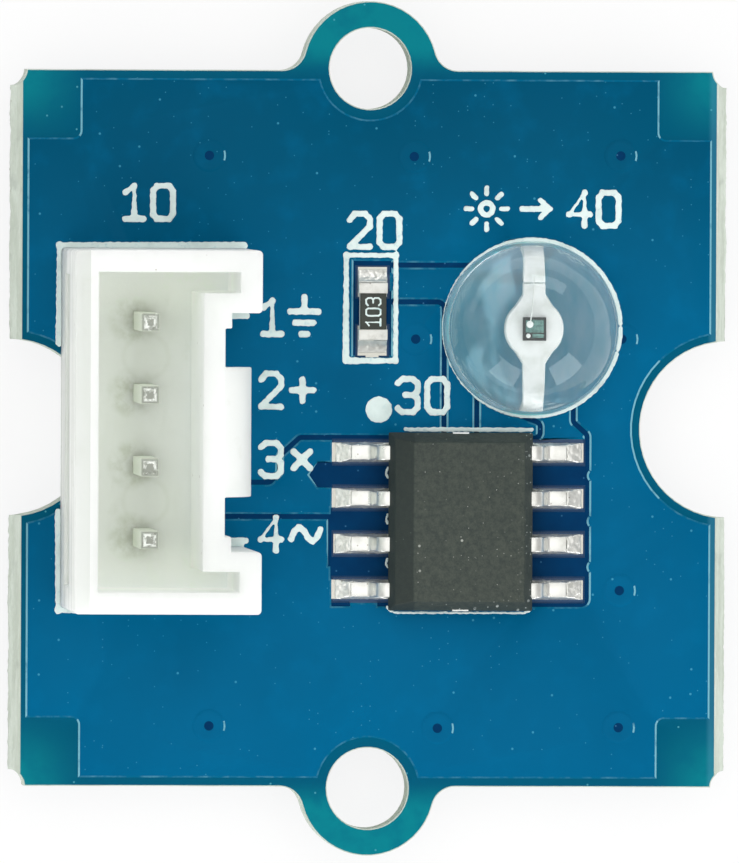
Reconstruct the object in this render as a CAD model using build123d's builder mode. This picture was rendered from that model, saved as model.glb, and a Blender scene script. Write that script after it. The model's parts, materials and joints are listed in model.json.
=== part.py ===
# Light sensor module: a small circuit board with two mounting ears, a shrouded
# four-pin connector, a chip resistor, an eight-lead amplifier and a clear round
# phototransistor. Millimetres. The origin lies midway between the two mounting
# holes on the underside of the laminate, +Y runs along the line of the holes and
# +Z rises through the components.
import os
from math import radians, tan

from build123d import *

os.makedirs("parts", exist_ok=True)

# Laminate: routed at the ears and notches, scored and snapped at both sides
board_width = 20.0
board_length = 19.9
board_thickness = 1.6
hole_edge = 0.05
hole_radius = 1.13
ear_radius = 1.87
ear_root_radius = 0.65
notch_radius = 2.45
corner_bite = 0.45
score_depth = 0.55
score_angle = 30

# Copper, lacquer and print
copper_thickness = 0.035
mask_thickness = 0.022
mask_skirt = 0.05
mask_inset = 0.03
mask_margin = 0.05
ink_thickness = 0.018
ink_width = 0.2
gap = 0.24
pour_side_margin = 0.53
pour_end_margin = 0.29
pour_step_x = 2.0
pour_step_y = 1.95
pour_fillet = 0.2
hole_clearance = 0.34
notch_clearance = 0.28
scallop_radius = 0.16
scallop_sink = 0.09

# Output trace, from the connector's last pad up to the amplifier's first pin
output_web = [(0, 0), (1.6, -0.15), (1.9, 0.6), (1.2, 1.4), (0.42, 0.95)]
output_end = 1.5
output_low = 1.06
output_high = 1.8
output_cut = 0.27
output_slant = 0.56
output_reach = 1.505

# Plated holes
plating = 0.025
via_drill_radius = 0.175
via_sides = 8
pin_hole_radius = 0.445
pin_pad_radius = 0.75
sensor_hole_radius = 0.35
sensor_pad_radius = 0.45
tail_length = 1.3
joint_height = 0.85
thermal_spoke = 0.3

# Connector, seated on the lacquer
connector_edge = 1.425
connector_width = 5.15
connector_length = 10.0
connector_height = 8.0
connector_corner = 0.12
back_wall = 0.65
wall = 0.6
front_wall = 0.6
front_setback = 1.02
end_arm = 1.72
slot_width = 0.57
step_depth = 0.18
step_width = 0.42
cavity_depth = 6.2
ramp_width = 3.56
ramp_reach = 0.8
ramp_drop = 1.5
ramp_lip = 0.45
groove_depth = 0.1
groove_height = 2.6
groove_base = 2.4
groove_length = 8.6
relief_depth = 0.3
relief_margin = 0.7
pin_count = 4
pin_pitch = 2.0
pin_size = 0.5
pin_offset = -0.4
pin_height = 6.0
pin_tip = 0.13

# Chip resistor, lying along Y
resistor_x = 0.08
resistor_y = 3.26
resistor_length = 1.6
resistor_width = 0.8
resistor_height = 0.45
terminal_length = 0.3
terminal_thickness = 0.035
coat_thickness = 0.03
film_thickness = 0.012
resistor_pad_length = 0.83
resistor_pad_width = 0.86
resistor_pad_offset = 0.815
window_margin = 0.15
resistor_joint = 0.32
frame_width = 1.38
frame_length = 2.93
frame_lift = 0.09

# Amplifier, an eight-lead small outline package
amplifier_x = 2.5
amplifier_y = -2.56
amplifier_width = 4.02
amplifier_length = 4.96
amplifier_standoff = 0.15
lower_half = 0.75
upper_half = 0.75
draft = 20
bevel_width = 0.42
bevel_depth = 0.3
lead_pitch = 1.27
lead_width = 0.41
lead_thickness = 0.2
lead_span = 6.0
lead_foot = 0.62
lead_bend = 0.22
lead_anchor = 0.55
pad_length = 1.55
pad_width = 0.65
pad_reach = 3.475
chip_joint = 0.17
paddle_width = 2.2
paddle_length = 3.3
tie_bar = 0.45
die_width = 1.2
die_length = 1.7
die_height = 0.25
wire_radius = 0.02
wire_rise = 0.2

# Clear phototransistor with its leads bent down inside the body
sensor_x = 4.45
sensor_y = 2.81
lens_radius = 2.42
dome_radius = 2.31
lens_standoff = 0.12
flange_top = 1.0
dome_start = 1.6
lens_height = 3.35
sensor_lead_pitch = 3.6
sensor_lead_width = 0.5
sensor_lead_thickness = 0.25
sensor_lead_level = 1.85
sensor_lead_bend = 0.35
sensor_paddle_radius = 0.64
shoulder_start = 0.38
shoulder_end = 0.75
lead_break = 1.02
lead_break_gap = 0.04
sensor_die_size = 0.52
sensor_die_height = 0.15
sensor_wire_radius = 0.015
ring_radius = 2.45
ring_width = 0.14
ring_offset = 0.09

# Solder under the surface-mounted leads
solder_film = 0.02

# Levels worked out from the stack
copper_level = board_thickness + copper_thickness
mask_level = copper_level + mask_thickness
seat_level = copper_level + solder_film
bottom_level = -copper_thickness
half_length = board_length / 2
half_width = board_width / 2
hole_pitch = board_length + 2 * hole_edge
pour_width = board_width - 2 * pour_side_margin
pour_length = board_length - 2 * pour_end_margin
connector_x = connector_edge + connector_width / 2 - half_width
hole_centres = [(0, hole_pitch / 2), (0, -hole_pitch / 2)]
notch_centres = [(half_width, 0), (-half_width, 0)]
score_width = score_depth * tan(radians(score_angle))

# Places shared by the copper, the lacquer and the parts that sit on them
pin_x = connector_x + pin_offset
pin_rows = [(pin_count - 1 - 2 * i) * pin_pitch / 2 for i in range(pin_count)]
pin_places = [(pin_x, y) for y in pin_rows]
lead_rows = [amplifier_y + (3 - 2 * i) * lead_pitch / 2 for i in range(4)]
pad_left = amplifier_x - pad_reach
pad_right = amplifier_x + pad_reach
pad_gap = lead_pitch - pad_width
overlap = 0.04
inner_left = pad_left + pad_length + gap / 2 - overlap
inner_right = pad_right - pad_length - gap / 2 + overlap
sensor_upper = (sensor_x, sensor_y + sensor_lead_pitch / 2)
sensor_lower = (sensor_x, sensor_y - sensor_lead_pitch / 2)
window_width = resistor_pad_width + 2 * window_margin
window_top = resistor_y + resistor_pad_offset + resistor_pad_length / 2 + gap * 0.9
window_bottom = resistor_y - resistor_pad_offset - resistor_pad_length / 2 - mask_margin
window_right = resistor_x + window_width / 2

# Stitching vias, at hand-set distances from the board's edges or beside the parts
via_left = 5.55 - half_width
via_right = half_width - 3.0
via_top = half_length - 2.38
via_bottom = 1.66 - half_length
via_places = [
    (via_left, via_top), (resistor_x + 1.15, via_top), (via_right, via_top),
    (resistor_x + 1.21, resistor_y - 0.77), (via_right, sensor_y - 0.3), (via_right, amplifier_y - 1.92),
    (via_left, via_bottom), (resistor_x + 1.86, via_bottom), (via_right, via_bottom),
]


def save(piece, name):
    piece.label = name
    export_step(piece, f"parts/{name}.step")


def channel(points, width, bend=0.2):
    # A strip of even width along a route, with rounded turns
    with BuildLine(mode=Mode.PRIVATE) as route:
        if len(points) > 2:
            FilletPolyline(*points, radius=bend)
        else:
            Line(*points)
    trace(route.line, line_width=width)


def board_plan(inset=0.0):
    with BuildSketch() as plan:
        Rectangle(board_width - 2 * inset, board_length - 2 * inset)
        with Locations(*hole_centres):
            Circle(ear_radius - inset)
        edge = half_length - inset
        roots = [v for v in plan.vertices() if abs(abs(v.Y) - edge) < 1e-4 and abs(v.X) < ear_radius]
        fillet(roots, ear_root_radius + inset)
        with Locations(*hole_centres):
            Circle(hole_radius + inset, mode=Mode.SUBTRACT)
        with Locations(*notch_centres):
            Circle(notch_radius + inset, mode=Mode.SUBTRACT)
        with GridLocations(board_width, board_length, 2, 2):
            Circle(corner_bite + inset, mode=Mode.SUBTRACT)
    return plan.sketch


def pour_plan(grow=0.0):
    # The ground pour, stepped back at the corners and clear of holes and notches
    with BuildSketch() as plan:
        Rectangle(pour_width + 2 * grow, pour_length + 2 * grow)
        with GridLocations(board_width, board_length, 2, 2):
            RectangleRounded(
                2 * (pour_step_x - grow), 2 * (pour_step_y - grow), pour_fillet, mode=Mode.SUBTRACT,
            )
        with Locations(*hole_centres):
            Circle(hole_radius + hole_clearance - grow, mode=Mode.SUBTRACT)
        with Locations(*notch_centres):
            Circle(notch_radius + notch_clearance - grow, mode=Mode.SUBTRACT)
    return plan.sketch


def pad_plan(grow=0.0):
    # Every pad of the top side, and nothing else
    with BuildSketch() as plan:
        with Locations((amplifier_x, amplifier_y)):
            with GridLocations(2 * pad_reach - pad_length, lead_pitch, 2, 4):
                Rectangle(pad_length + 2 * grow, pad_width + 2 * grow)
        with Locations((resistor_x, resistor_y)):
            with GridLocations(0, 2 * resistor_pad_offset, 1, 2):
                Rectangle(resistor_pad_width + 2 * grow, resistor_pad_length + 2 * grow)
        with Locations(*pin_places):
            Circle(pin_pad_radius + grow)
        with Locations(sensor_upper, sensor_lower):
            Circle(sensor_pad_radius + grow)
    return plan.sketch


def pin_ring(place, grow):
    # The gap that parts one connector pad from the pour
    with Locations(place):
        Circle(pin_pad_radius + gap - grow)


def thermal_spokes(place, grow):
    with Locations(place):
        Rectangle(2 * (pin_pad_radius + gap), thermal_spoke + 2 * grow, mode=Mode.SUBTRACT)
        Rectangle(thermal_spoke + 2 * grow, 2 * (pin_pad_radius + gap), mode=Mode.SUBTRACT)


def top_gaps(grow=0.0):
    # Where the top foil is etched away inside the pour. With grow, the same gaps
    # between edges that stand out by that much, for the lacquer that wraps them.
    narrow = gap - 2 * grow
    route_y = lead_rows[0] + pad_width / 2 + gap / 2 - overlap
    strip_x = pad_left - gap / 2 + overlap
    outer_right = pad_right + 0.1
    low_y = lead_rows[3] - pad_width / 2 - gap / 2 + overlap
    lead_x = sensor_x
    output_x = pad_left - output_reach
    with BuildSketch() as gaps:
        # Window round the resistor's pads
        with Locations((resistor_x, (window_top + window_bottom) / 2)):
            Rectangle(window_width - 2 * grow, window_top - window_bottom - 2 * grow)
        with Locations((window_right, resistor_y + resistor_pad_offset)):
            Rectangle(0.5, 0.42 + 2 * grow, mode=Mode.SUBTRACT)
        with Locations((resistor_x, window_bottom)):
            Rectangle(0.36 + 2 * grow, 0.5, mode=Mode.SUBTRACT)
        # Between the connector's pads and the pour
        for place in pin_places:
            pin_ring(place, grow)
        thermal_spokes(pin_places[0], grow)
        with Locations(pin_places[3]):
            Polygon(*output_web, align=None, mode=Mode.SUBTRACT)
        # Sensor to resistor and amplifier input: upper edge of the trace, then its right edge
        a_y = window_top - gap / 2 - overlap
        c_x = amplifier_x + 0.5
        channel(
            [
                (window_right - gap, a_y), (lead_x - 1.1, a_y), (lead_x - 0.6, sensor_upper[1] + 0.59),
                (lead_x + 0.6, sensor_upper[1] + 0.59), (lead_x + 0.6, sensor_upper[1] - 0.5),
                (lead_x - 0.05, sensor_y + 0.7), (c_x + 0.6, sensor_y + 0.7), (c_x, sensor_y + 0.1),
                (c_x, amplifier_y - lead_pitch), (inner_left - gap / 2, amplifier_y - lead_pitch),
            ],
            narrow,
        )
        # The same trace: lower edge, then its left edge
        b_y = resistor_y + 0.265
        b_x = amplifier_x - 0.41
        channel([(window_right - gap, b_y), (b_x, b_y), (b_x, amplifier_y), (inner_left, amplifier_y)], narrow)
        # Supply: round the sensor's lower lead and down to the amplifier's supply pin
        d_x = amplifier_x + 2.27
        e_x = d_x + 0.92
        channel(
            [
                (outer_right, low_y), (inner_right, low_y), (inner_right, route_y),
                (d_x, route_y), (d_x, route_y + 0.42),
                (lead_x - 0.58, sensor_lower[1] - 0.52), (lead_x - 0.58, sensor_lower[1] + 0.59),
                (lead_x + 0.5, sensor_lower[1] + 0.59), (e_x, sensor_lower[1] - 0.1), (e_x, route_y + 0.45),
                (outer_right, route_y + 0.1), (outer_right, low_y),
            ],
            narrow,
            bend=0.16,
        )
        # Output: its upper edge from the connector to the first pin, then its inner edge
        channel(
            [
                (pin_x + 0.15, pin_rows[3] + 0.86), (pin_x + 0.6, pin_rows[3] + 0.92), (pin_x + 1.0, pin_rows[3] + 1.25),
                (pin_x + output_end, amplifier_y + output_low), (output_x - output_cut, amplifier_y + output_low),
                (output_x, amplifier_y + output_low + output_cut), (output_x, amplifier_y + output_high),
                (output_x + output_slant, route_y), (inner_left, route_y), (inner_left, amplifier_y),
            ],
            narrow,
            bend=0.16,
        )
        # Output: its lower edge
        h_y = amplifier_y + pad_gap / 2 - gap / 2 - 2 * overlap
        channel(
            [
                (pin_x + 0.74, pin_rows[3] - 0.45), (pin_x + 1.1, pin_rows[3] - 0.1), (pin_x + 1.6, pin_rows[3]),
                (pin_x + 2.1, h_y), (pad_left, h_y),
            ],
            narrow,
        )
        # Left end of the input pin's pad
        channel([(strip_x, h_y), (strip_x, amplifier_y - lead_pitch)], narrow)
        # Between the left pads, whose own edges close these gaps
        between = pad_gap + 2 * overlap
        reach = inner_left - pad_left
        with Locations((pad_left, amplifier_y + lead_pitch)):
            Polygon(
                (-0.73 + grow, 0), (-0.5 + grow, between / 2), (reach, between / 2),
                (reach, -between / 2), (-0.5 + grow, -between / 2), align=None,
            )
        with Locations((strip_x, amplifier_y), (strip_x, amplifier_y - lead_pitch)):
            Rectangle(inner_left - strip_x, between, align=(Align.MIN, Align.CENTER))
        # Two bars below the ground pin, with a copper spoke between them
        with Locations((pad_left - 0.05, low_y)):
            Rectangle(0.52, narrow, align=(Align.MIN, Align.CENTER))
        with Locations((inner_left, low_y)):
            Rectangle(0.4, narrow, align=(Align.MAX, Align.CENTER))
        # Between the right pads
        with Locations((inner_right, lead_rows[0])):
            Rectangle(outer_right - inner_right, lead_rows[0] - low_y, align=(Align.MIN, Align.MAX))
        # The pour bulges a little towards each gap between the right pads
        with Locations(*[(outer_right + gap / 2 + scallop_sink, row - lead_pitch / 2) for row in lead_rows[:3]]):
            Circle(scallop_radius + grow, mode=Mode.SUBTRACT)
        add(pad_plan(grow), mode=Mode.SUBTRACT)
    return gaps.sketch


def bottom_gaps(grow=0.0):
    trace_width = 0.5
    supply = [pin_places[1], sensor_lower]
    with BuildSketch() as gaps:
        channel(supply, trace_width + 2 * gap - 2 * grow)
        for place in pin_places:
            pin_ring(place, grow)
        with Locations(sensor_upper, sensor_lower):
            Circle(sensor_pad_radius + gap - grow)
        with BuildSketch(mode=Mode.PRIVATE) as kept:
            channel(supply, trace_width + 2 * grow)
            with Locations(*pin_places):
                Circle(pin_pad_radius + grow)
            with Locations(sensor_upper, sensor_lower):
                Circle(sensor_pad_radius + grow)
        add(kept.sketch, mode=Mode.SUBTRACT)
        thermal_spokes(pin_places[0], grow)
    return gaps.sketch


def drill_plan():
    with BuildSketch() as plan:
        with Locations(*via_places):
            RegularPolygon(via_drill_radius, via_sides)
        with Locations(*pin_places):
            Circle(pin_hole_radius)
        with Locations(sensor_upper, sensor_lower):
            Circle(sensor_hole_radius)
    return plan.sketch


# Laminate with its ears, notches, scored edges and drilled holes
with BuildPart() as board:
    with BuildSketch():
        add(board_plan())
    extrude(amount=board_thickness)
    with BuildSketch(Plane.XZ):
        for side in (1, -1):
            for face, inward in ((board_thickness, -1), (0, 1)):
                with BuildLine():
                    Polyline(
                        (side * board_width / 2, face),
                        (side * (board_width / 2 - score_width), face),
                        (side * board_width / 2, face + inward * score_depth),
                        close=True,
                    )
                make_face()
    extrude(amount=board_length, both=True, mode=Mode.SUBTRACT)
    with BuildSketch():
        add(drill_plan())
    extrude(amount=board_thickness, mode=Mode.SUBTRACT)
save(board.part, "circuit_board")


def copper_foil(level, gaps):
    with BuildPart() as foil:
        with BuildSketch(Plane.XY.offset(level)):
            add(pour_plan())
            add(gaps(), mode=Mode.SUBTRACT)
            add(drill_plan(), mode=Mode.SUBTRACT)
        extrude(amount=copper_thickness)
    return foil.part


save(copper_foil(board_thickness, top_gaps), "copper_top")
save(copper_foil(bottom_level, bottom_gaps), "copper_bottom")


def layer(face, outward, height):
    # Plane at the lower side of a layer that lies on a face of the laminate
    return Plane.XY.offset(face if outward > 0 else face - height)


def lacquer(face, outward, gaps, openings):
    # The lacquer follows the foil: low on the bare laminate, raised over the copper
    raised = copper_thickness + mask_thickness
    with BuildPart() as coat:
        with BuildSketch(layer(face, outward, mask_thickness)):
            add(board_plan(mask_inset))
            Rectangle(board_width - 2 * (score_width + mask_inset), 2 * hole_pitch, mode=Mode.INTERSECT)
            add(openings, mode=Mode.SUBTRACT)
        extrude(amount=mask_thickness)
        with BuildSketch(layer(face, outward, raised)):
            add(pour_plan(mask_skirt))
            add(gaps(mask_skirt), mode=Mode.SUBTRACT)
            add(openings, mode=Mode.SUBTRACT)
        extrude(amount=raised)
        with BuildSketch(layer(face, outward, copper_thickness)):
            add(pour_plan())
            add(gaps(), mode=Mode.SUBTRACT)
            with Locations(*via_places):
                RegularPolygon(via_drill_radius, via_sides)
        extrude(amount=copper_thickness, mode=Mode.SUBTRACT)
    return coat.part


with BuildSketch() as bottom_openings:
    with Locations(*pin_places):
        Circle(pin_pad_radius + mask_margin)
    with Locations(sensor_upper, sensor_lower):
        Circle(sensor_pad_radius + mask_margin)
save(lacquer(board_thickness, 1, top_gaps, pad_plan(mask_margin)), "solder_mask_top")
save(lacquer(0, -1, bottom_gaps, bottom_openings.sketch), "solder_mask_bottom")


def barrels(places, radius):
    with Locations(*places):
        Circle(radius)
        Circle(radius - plating, mode=Mode.SUBTRACT)


with BuildPart() as via_barrels:
    with BuildSketch(Plane.XY.offset(bottom_level)):
        with Locations(*via_places):
            RegularPolygon(via_drill_radius, via_sides)
            RegularPolygon(via_drill_radius - plating, via_sides, mode=Mode.SUBTRACT)
    extrude(amount=copper_level - bottom_level)
save(via_barrels.part, "via_barrels")

with BuildPart() as hole_barrels:
    with BuildSketch(Plane.XY.offset(bottom_level)):
        barrels(pin_places, pin_hole_radius)
        barrels([sensor_upper, sensor_lower], sensor_hole_radius)
    extrude(amount=copper_level - bottom_level)
save(hole_barrels.part, "hole_barrels")

# Connector plan, shared by the shroud and the print round it
connector_front = connector_x + connector_width / 2
wall_front = connector_front - front_setback
recess_length = connector_length - 2 * end_arm


def connector_plan():
    with BuildSketch() as plan:
        with Locations((connector_x, 0)):
            Rectangle(connector_width, connector_length)
        with Locations((connector_front, 0)):
            Rectangle(front_setback, recess_length, align=(Align.MAX, Align.CENTER), mode=Mode.SUBTRACT)
        with Locations((wall_front, recess_length / 2), (wall_front, -recess_length / 2)):
            Rectangle(2 * step_depth, 2 * step_width)
        corners = plan.vertices().group_by(Axis.X)
        fillet(corners[0] + corners[-1], connector_corner)
    return plan.sketch


# Shroud: one moulding with a keyed cavity, a set-back front wall and a latch ramp
connector_top = mask_level + connector_height
cavity_floor = connector_top - cavity_depth
with BuildPart() as housing:
    with BuildSketch(Plane.XY.offset(mask_level)):
        add(connector_plan())
    extrude(amount=connector_height)
    with BuildSketch(Plane.XY.offset(cavity_floor)):
        back = connector_x - connector_width / 2 + back_wall
        inside = connector_length / 2 - wall
        with Locations(((back + wall_front - front_wall) / 2, 0)):
            Rectangle(wall_front - front_wall - back, 2 * inside)
        for side in (1, -1):
            with Locations((back, side * (inside - slot_width / 2))):
                Rectangle(connector_front - wall - back, slot_width, align=(Align.MIN, Align.CENTER))
    extrude(amount=cavity_depth, mode=Mode.SUBTRACT)
    with BuildSketch(Plane.XZ):
        with BuildLine():
            outer = wall_front + ramp_reach
            RadiusArc((wall_front, connector_top), (outer, connector_top - ramp_drop), 2.4)
            Polyline(
                (outer, connector_top - ramp_drop),
                (outer, connector_top - ramp_drop - ramp_lip),
                (wall_front, connector_top - ramp_drop - ramp_lip),
                (wall_front, connector_top),
            )
        make_face()
    extrude(amount=ramp_width / 2, both=True)
    # Shallow panel sunk into the back wall
    with BuildSketch(Plane.YZ.offset(connector_x - connector_width / 2)):
        with Locations((0, mask_level + groove_base + groove_height / 2)):
            Rectangle(groove_length, groove_height)
    extrude(amount=groove_depth, mode=Mode.SUBTRACT)
    # Relief under the base, which keeps flux away from the joints
    with BuildSketch(Plane.XY.offset(mask_level)):
        with Locations(((connector_x - connector_width / 2 + wall_front) / 2, 0)):
            Rectangle(
                wall_front - connector_x + connector_width / 2 - 2 * relief_margin,
                connector_length - 4 * relief_margin,
            )
    extrude(amount=relief_depth, mode=Mode.SUBTRACT)
    with BuildSketch(Plane.XY.offset(mask_level)):
        with Locations(*pin_places):
            Rectangle(pin_size, pin_size)
    extrude(amount=connector_height, mode=Mode.SUBTRACT)
save(housing.part, "connector_housing")

for number, place in enumerate(pin_places, start=1):
    with BuildPart() as pin:
        with BuildSketch(Plane.XY.offset(-tail_length)):
            with Locations(place):
                Rectangle(pin_size, pin_size)
        extrude(amount=tail_length + mask_level + pin_height)
        ends = pin.faces().sort_by(Axis.Z)
        chamfer(ends[0].edges() + ends[-1].edges(), pin_tip)
    save(pin.part, f"connector_pin_{number}")


def hole_joint(place, fill_radius, foot_radius, inserts):
    # Solder drawn up the tail below the board and through the plated hole
    frame = Plane(origin=(place[0], place[1], 0), x_dir=(1, 0, 0), z_dir=(0, -1, 0))
    tip = fill_radius * 0.85
    with BuildPart() as joint:
        with BuildSketch(frame):
            with BuildLine():
                Polyline(
                    (tip, bottom_level - joint_height), (0, bottom_level - joint_height), (0, copper_level),
                    (fill_radius, copper_level), (fill_radius, bottom_level), (foot_radius, bottom_level),
                    (foot_radius, bottom_level - 0.05), (fill_radius * 1.1, bottom_level - joint_height * 0.3),
                    close=True,
                )
            make_face()
        revolve(axis=Axis((place[0], place[1], 0), (0, 0, 1)))
        for insert in inserts:
            add(insert, mode=Mode.SUBTRACT)
    return joint.part


with BuildPart() as pin_tails:
    with BuildSketch(Plane.XY.offset(-tail_length)):
        with Locations(*pin_places):
            Rectangle(pin_size, pin_size)
    extrude(amount=tail_length + mask_level)

with BuildPart() as connector_solder:
    for place in pin_places:
        add(hole_joint(place, pin_hole_radius - plating, pin_pad_radius, [pin_tails.part]))
save(connector_solder.part, "connector_solder")

# Resistor: alumina chip, film, glass coat and two wrapped end caps
chip_length = resistor_length - 2 * terminal_thickness
chip_width = resistor_width - 2 * terminal_thickness
chip_height = resistor_height - 2 * terminal_thickness
coat_length = resistor_length - 2 * terminal_length
resistor_place = (resistor_x, resistor_y)

with BuildPart() as substrate:
    with BuildSketch(Plane.XY.offset(seat_level + terminal_thickness)):
        with Locations(resistor_place):
            Rectangle(chip_width, chip_length)
    extrude(amount=chip_height)
save(substrate.part, "resistor_substrate")

chip_top = seat_level + terminal_thickness + chip_height
with BuildPart() as film:
    with BuildSketch(Plane.XY.offset(chip_top)):
        with Locations(resistor_place):
            Rectangle(chip_width * 0.8, coat_length)
    extrude(amount=film_thickness)
save(film.part, "resistor_film")

with BuildPart() as coat:
    with BuildSketch(Plane.XY.offset(chip_top)):
        with Locations(resistor_place):
            Rectangle(chip_width, coat_length)
    extrude(amount=film_thickness + coat_thickness)
    add(film.part, mode=Mode.SUBTRACT)
    chamfer(coat.faces().sort_by(Axis.Z)[-1].edges().filter_by(Axis.Y), coat_thickness * 0.6)
save(coat.part, "resistor_coat")

for number, side in ((1, 1), (2, -1)):
    with BuildPart() as cap:
        with BuildSketch(Plane.XY.offset(seat_level)):
            with Locations((resistor_x, resistor_y + side * (resistor_length - terminal_length) / 2)):
                Rectangle(resistor_width, terminal_length)
        extrude(amount=resistor_height)
        outward = Axis.Y if side > 0 else -Axis.Y
        fillet(cap.edges().filter_by(Axis.X).group_by(outward)[-1], terminal_thickness)
        add(substrate.part, mode=Mode.SUBTRACT)
    save(cap.part, f"resistor_terminal_{number}")

with BuildPart() as resistor_solder:
    for side in (1, -1):
        end = resistor_y + side * resistor_length / 2
        pad_end = resistor_y + side * (resistor_pad_offset + resistor_pad_length / 2)
        pad_start = pad_end - side * resistor_pad_length
        rim = (end, seat_level + resistor_joint)
        toe = (pad_end, copper_level)
        with BuildSketch(Plane.YZ.offset(resistor_x)):
            with BuildLine():
                Polyline(rim, (end, seat_level), (pad_start, seat_level), (pad_start, copper_level), toe)
                RadiusArc(toe, rim, side * 0.62)
            make_face()
        extrude(amount=resistor_width / 2, both=True)
save(resistor_solder.part, "resistor_solder")

# Amplifier leads, bent from flat strip
parting = seat_level + amplifier_standoff + lower_half
half_span = lead_span / 2
half_body = amplifier_width / 2
foot_centre = seat_level + lead_thickness / 2


def gull_wing(side, row):
    # Route of the strip's middle, from inside the body out and down to the foot
    start = amplifier_x + side * (half_body - lead_anchor)
    shoulder = amplifier_x + side * (half_body + lead_thickness)
    heel = amplifier_x + side * (half_span - lead_foot)
    tip = amplifier_x + side * half_span
    with BuildPart() as lead:
        with BuildSketch(Plane.XZ.offset(-row)):
            channel(
                [(start, parting), (shoulder, parting), (heel, foot_centre), (tip, foot_centre)],
                lead_thickness,
                bend=lead_bend,
            )
        extrude(amount=lead_width / 2, both=True)
    return lead.part


lead_order = [(-1, i) for i in range(4)] + [(1, 3 - i) for i in range(4)]
leads = [gull_wing(side, lead_rows[i]) for side, i in lead_order]
for number, lead in enumerate(leads, start=1):
    save(lead, f"amplifier_lead_{number}")

strip_bottom = parting - lead_thickness / 2
strip_top = parting + lead_thickness / 2
amplifier_place = (amplifier_x, amplifier_y)
with BuildPart() as paddle:
    with BuildSketch(Plane.XY.offset(strip_bottom)):
        with Locations(amplifier_place):
            Rectangle(paddle_width, paddle_length)
            Rectangle(tie_bar, amplifier_length)
    extrude(amount=lead_thickness)
save(paddle.part, "amplifier_paddle")

with BuildPart() as amplifier_die:
    with BuildSketch(Plane.XY.offset(strip_top)):
        with Locations(amplifier_place):
            Rectangle(die_width, die_length)
    extrude(amount=die_height)
save(amplifier_die.part, "amplifier_die")


def bond_wire(start, end, rise, radius):
    # A six-sided wire that rises from a die's face and slopes down to a lead
    top = max(start[2], end[2]) + rise
    knee = (start[0] + (end[0] - start[0]) / 4, start[1] + (end[1] - start[1]) / 4, top)
    with BuildPart() as wire:
        with BuildLine() as arch:
            Polyline(start, knee, end)
        with BuildSketch(Plane(origin=start, z_dir=arch.line % 0)):
            RegularPolygon(radius, 6)
        sweep(transition=Transition.RIGHT)
    return wire.part


with BuildPart() as bond_wires:
    for side, i in lead_order:
        row = lead_rows[i]
        spread = (row - amplifier_y) * die_length * 0.8 / (3 * lead_pitch)
        on_die = (amplifier_x + side * die_width * 0.42, amplifier_y + spread, strip_top + die_height)
        on_lead = (amplifier_x + side * (half_body - lead_anchor * 0.6), row, strip_top)
        add(bond_wire(on_die, on_lead, wire_rise, wire_radius))
    for inner in (amplifier_die.part, *leads):
        add(inner, mode=Mode.SUBTRACT)
save(bond_wires.part, "amplifier_bond_wires")

# Moulded package, drafted both ways from the parting plane, bevelled along pin one
with BuildPart() as package:
    with BuildSketch(Plane.XY.offset(parting)) as package_plan:
        with Locations(amplifier_place):
            Rectangle(amplifier_width, amplifier_length)
    extrude(amount=upper_half, taper=draft)
    extrude(package_plan.sketch, amount=-lower_half, taper=draft)
    top_edges = package.faces().sort_by(Axis.Z)[-1].edges().filter_by(Axis.Y)
    chamfer(top_edges.sort_by(Axis.X)[0], length=bevel_depth, length2=bevel_width)
    for inner in (*leads, paddle.part, amplifier_die.part, bond_wires.part):
        add(inner, mode=Mode.SUBTRACT)
save(package.part, "amplifier_body")


def foot_joint(side, row):
    # Solder that climbs from the pad to the sides and toe of one foot
    pad_centre = amplifier_x + side * (pad_reach - pad_length / 2)
    foot_middle = amplifier_x + side * (half_span - lead_foot / 2)
    with BuildPart() as joint:
        with BuildSketch(Plane.XY.offset(copper_level)):
            with Locations((pad_centre, row)):
                Rectangle(pad_length, pad_width)
        with BuildSketch(Plane.XY.offset(seat_level + chip_joint)):
            with Locations((foot_middle, row)):
                Rectangle(lead_foot + 0.06, lead_width + 0.05)
        loft()
    return joint.part


with BuildPart() as amplifier_solder:
    for side, i in lead_order:
        add(foot_joint(side, lead_rows[i]))
    for lead in leads:
        add(lead, mode=Mode.SUBTRACT)
save(amplifier_solder.part, "amplifier_solder")

# Sensor leads: flat strip, one with the round die paddle, both bent down to the board
lens_seat = mask_level + lens_standoff
strip_level = mask_level + sensor_lead_level
strip_middle = strip_level - sensor_lead_thickness / 2
half_pitch = sensor_lead_pitch / 2


def strip_profile(start, side):
    # Side view of one lead: level through the body, then straight down through the board
    with BuildSketch(Plane.YZ.offset(sensor_x)) as profile:
        channel(
            [
                (sensor_y + start, strip_middle),
                (sensor_y + side * half_pitch, strip_middle),
                (sensor_y + side * half_pitch, -tail_length),
            ],
            sensor_lead_thickness,
            bend=sensor_lead_bend,
        )
    return profile.sketch


with BuildPart() as sensor_lead_1:
    extrude(strip_profile(lead_break, -1), amount=sensor_lead_width / 2, both=True)
    with BuildSketch(Plane.XY.offset(strip_level - sensor_lead_thickness)):
        with Locations((sensor_x, sensor_y)):
            Circle(sensor_paddle_radius)
            for side in (1, -1):
                Polygon(
                    (-sensor_paddle_radius * 0.75, side * shoulder_start),
                    (-sensor_lead_width / 2, side * shoulder_end),
                    (sensor_lead_width / 2, side * shoulder_end),
                    (sensor_paddle_radius * 0.75, side * shoulder_start),
                    align=None,
                )
    extrude(amount=sensor_lead_thickness)
save(sensor_lead_1.part, "sensor_lead_1")

with BuildPart() as sensor_lead_2:
    extrude(strip_profile(lead_break + lead_break_gap, 1), amount=sensor_lead_width / 2, both=True)
save(sensor_lead_2.part, "sensor_lead_2")

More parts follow.
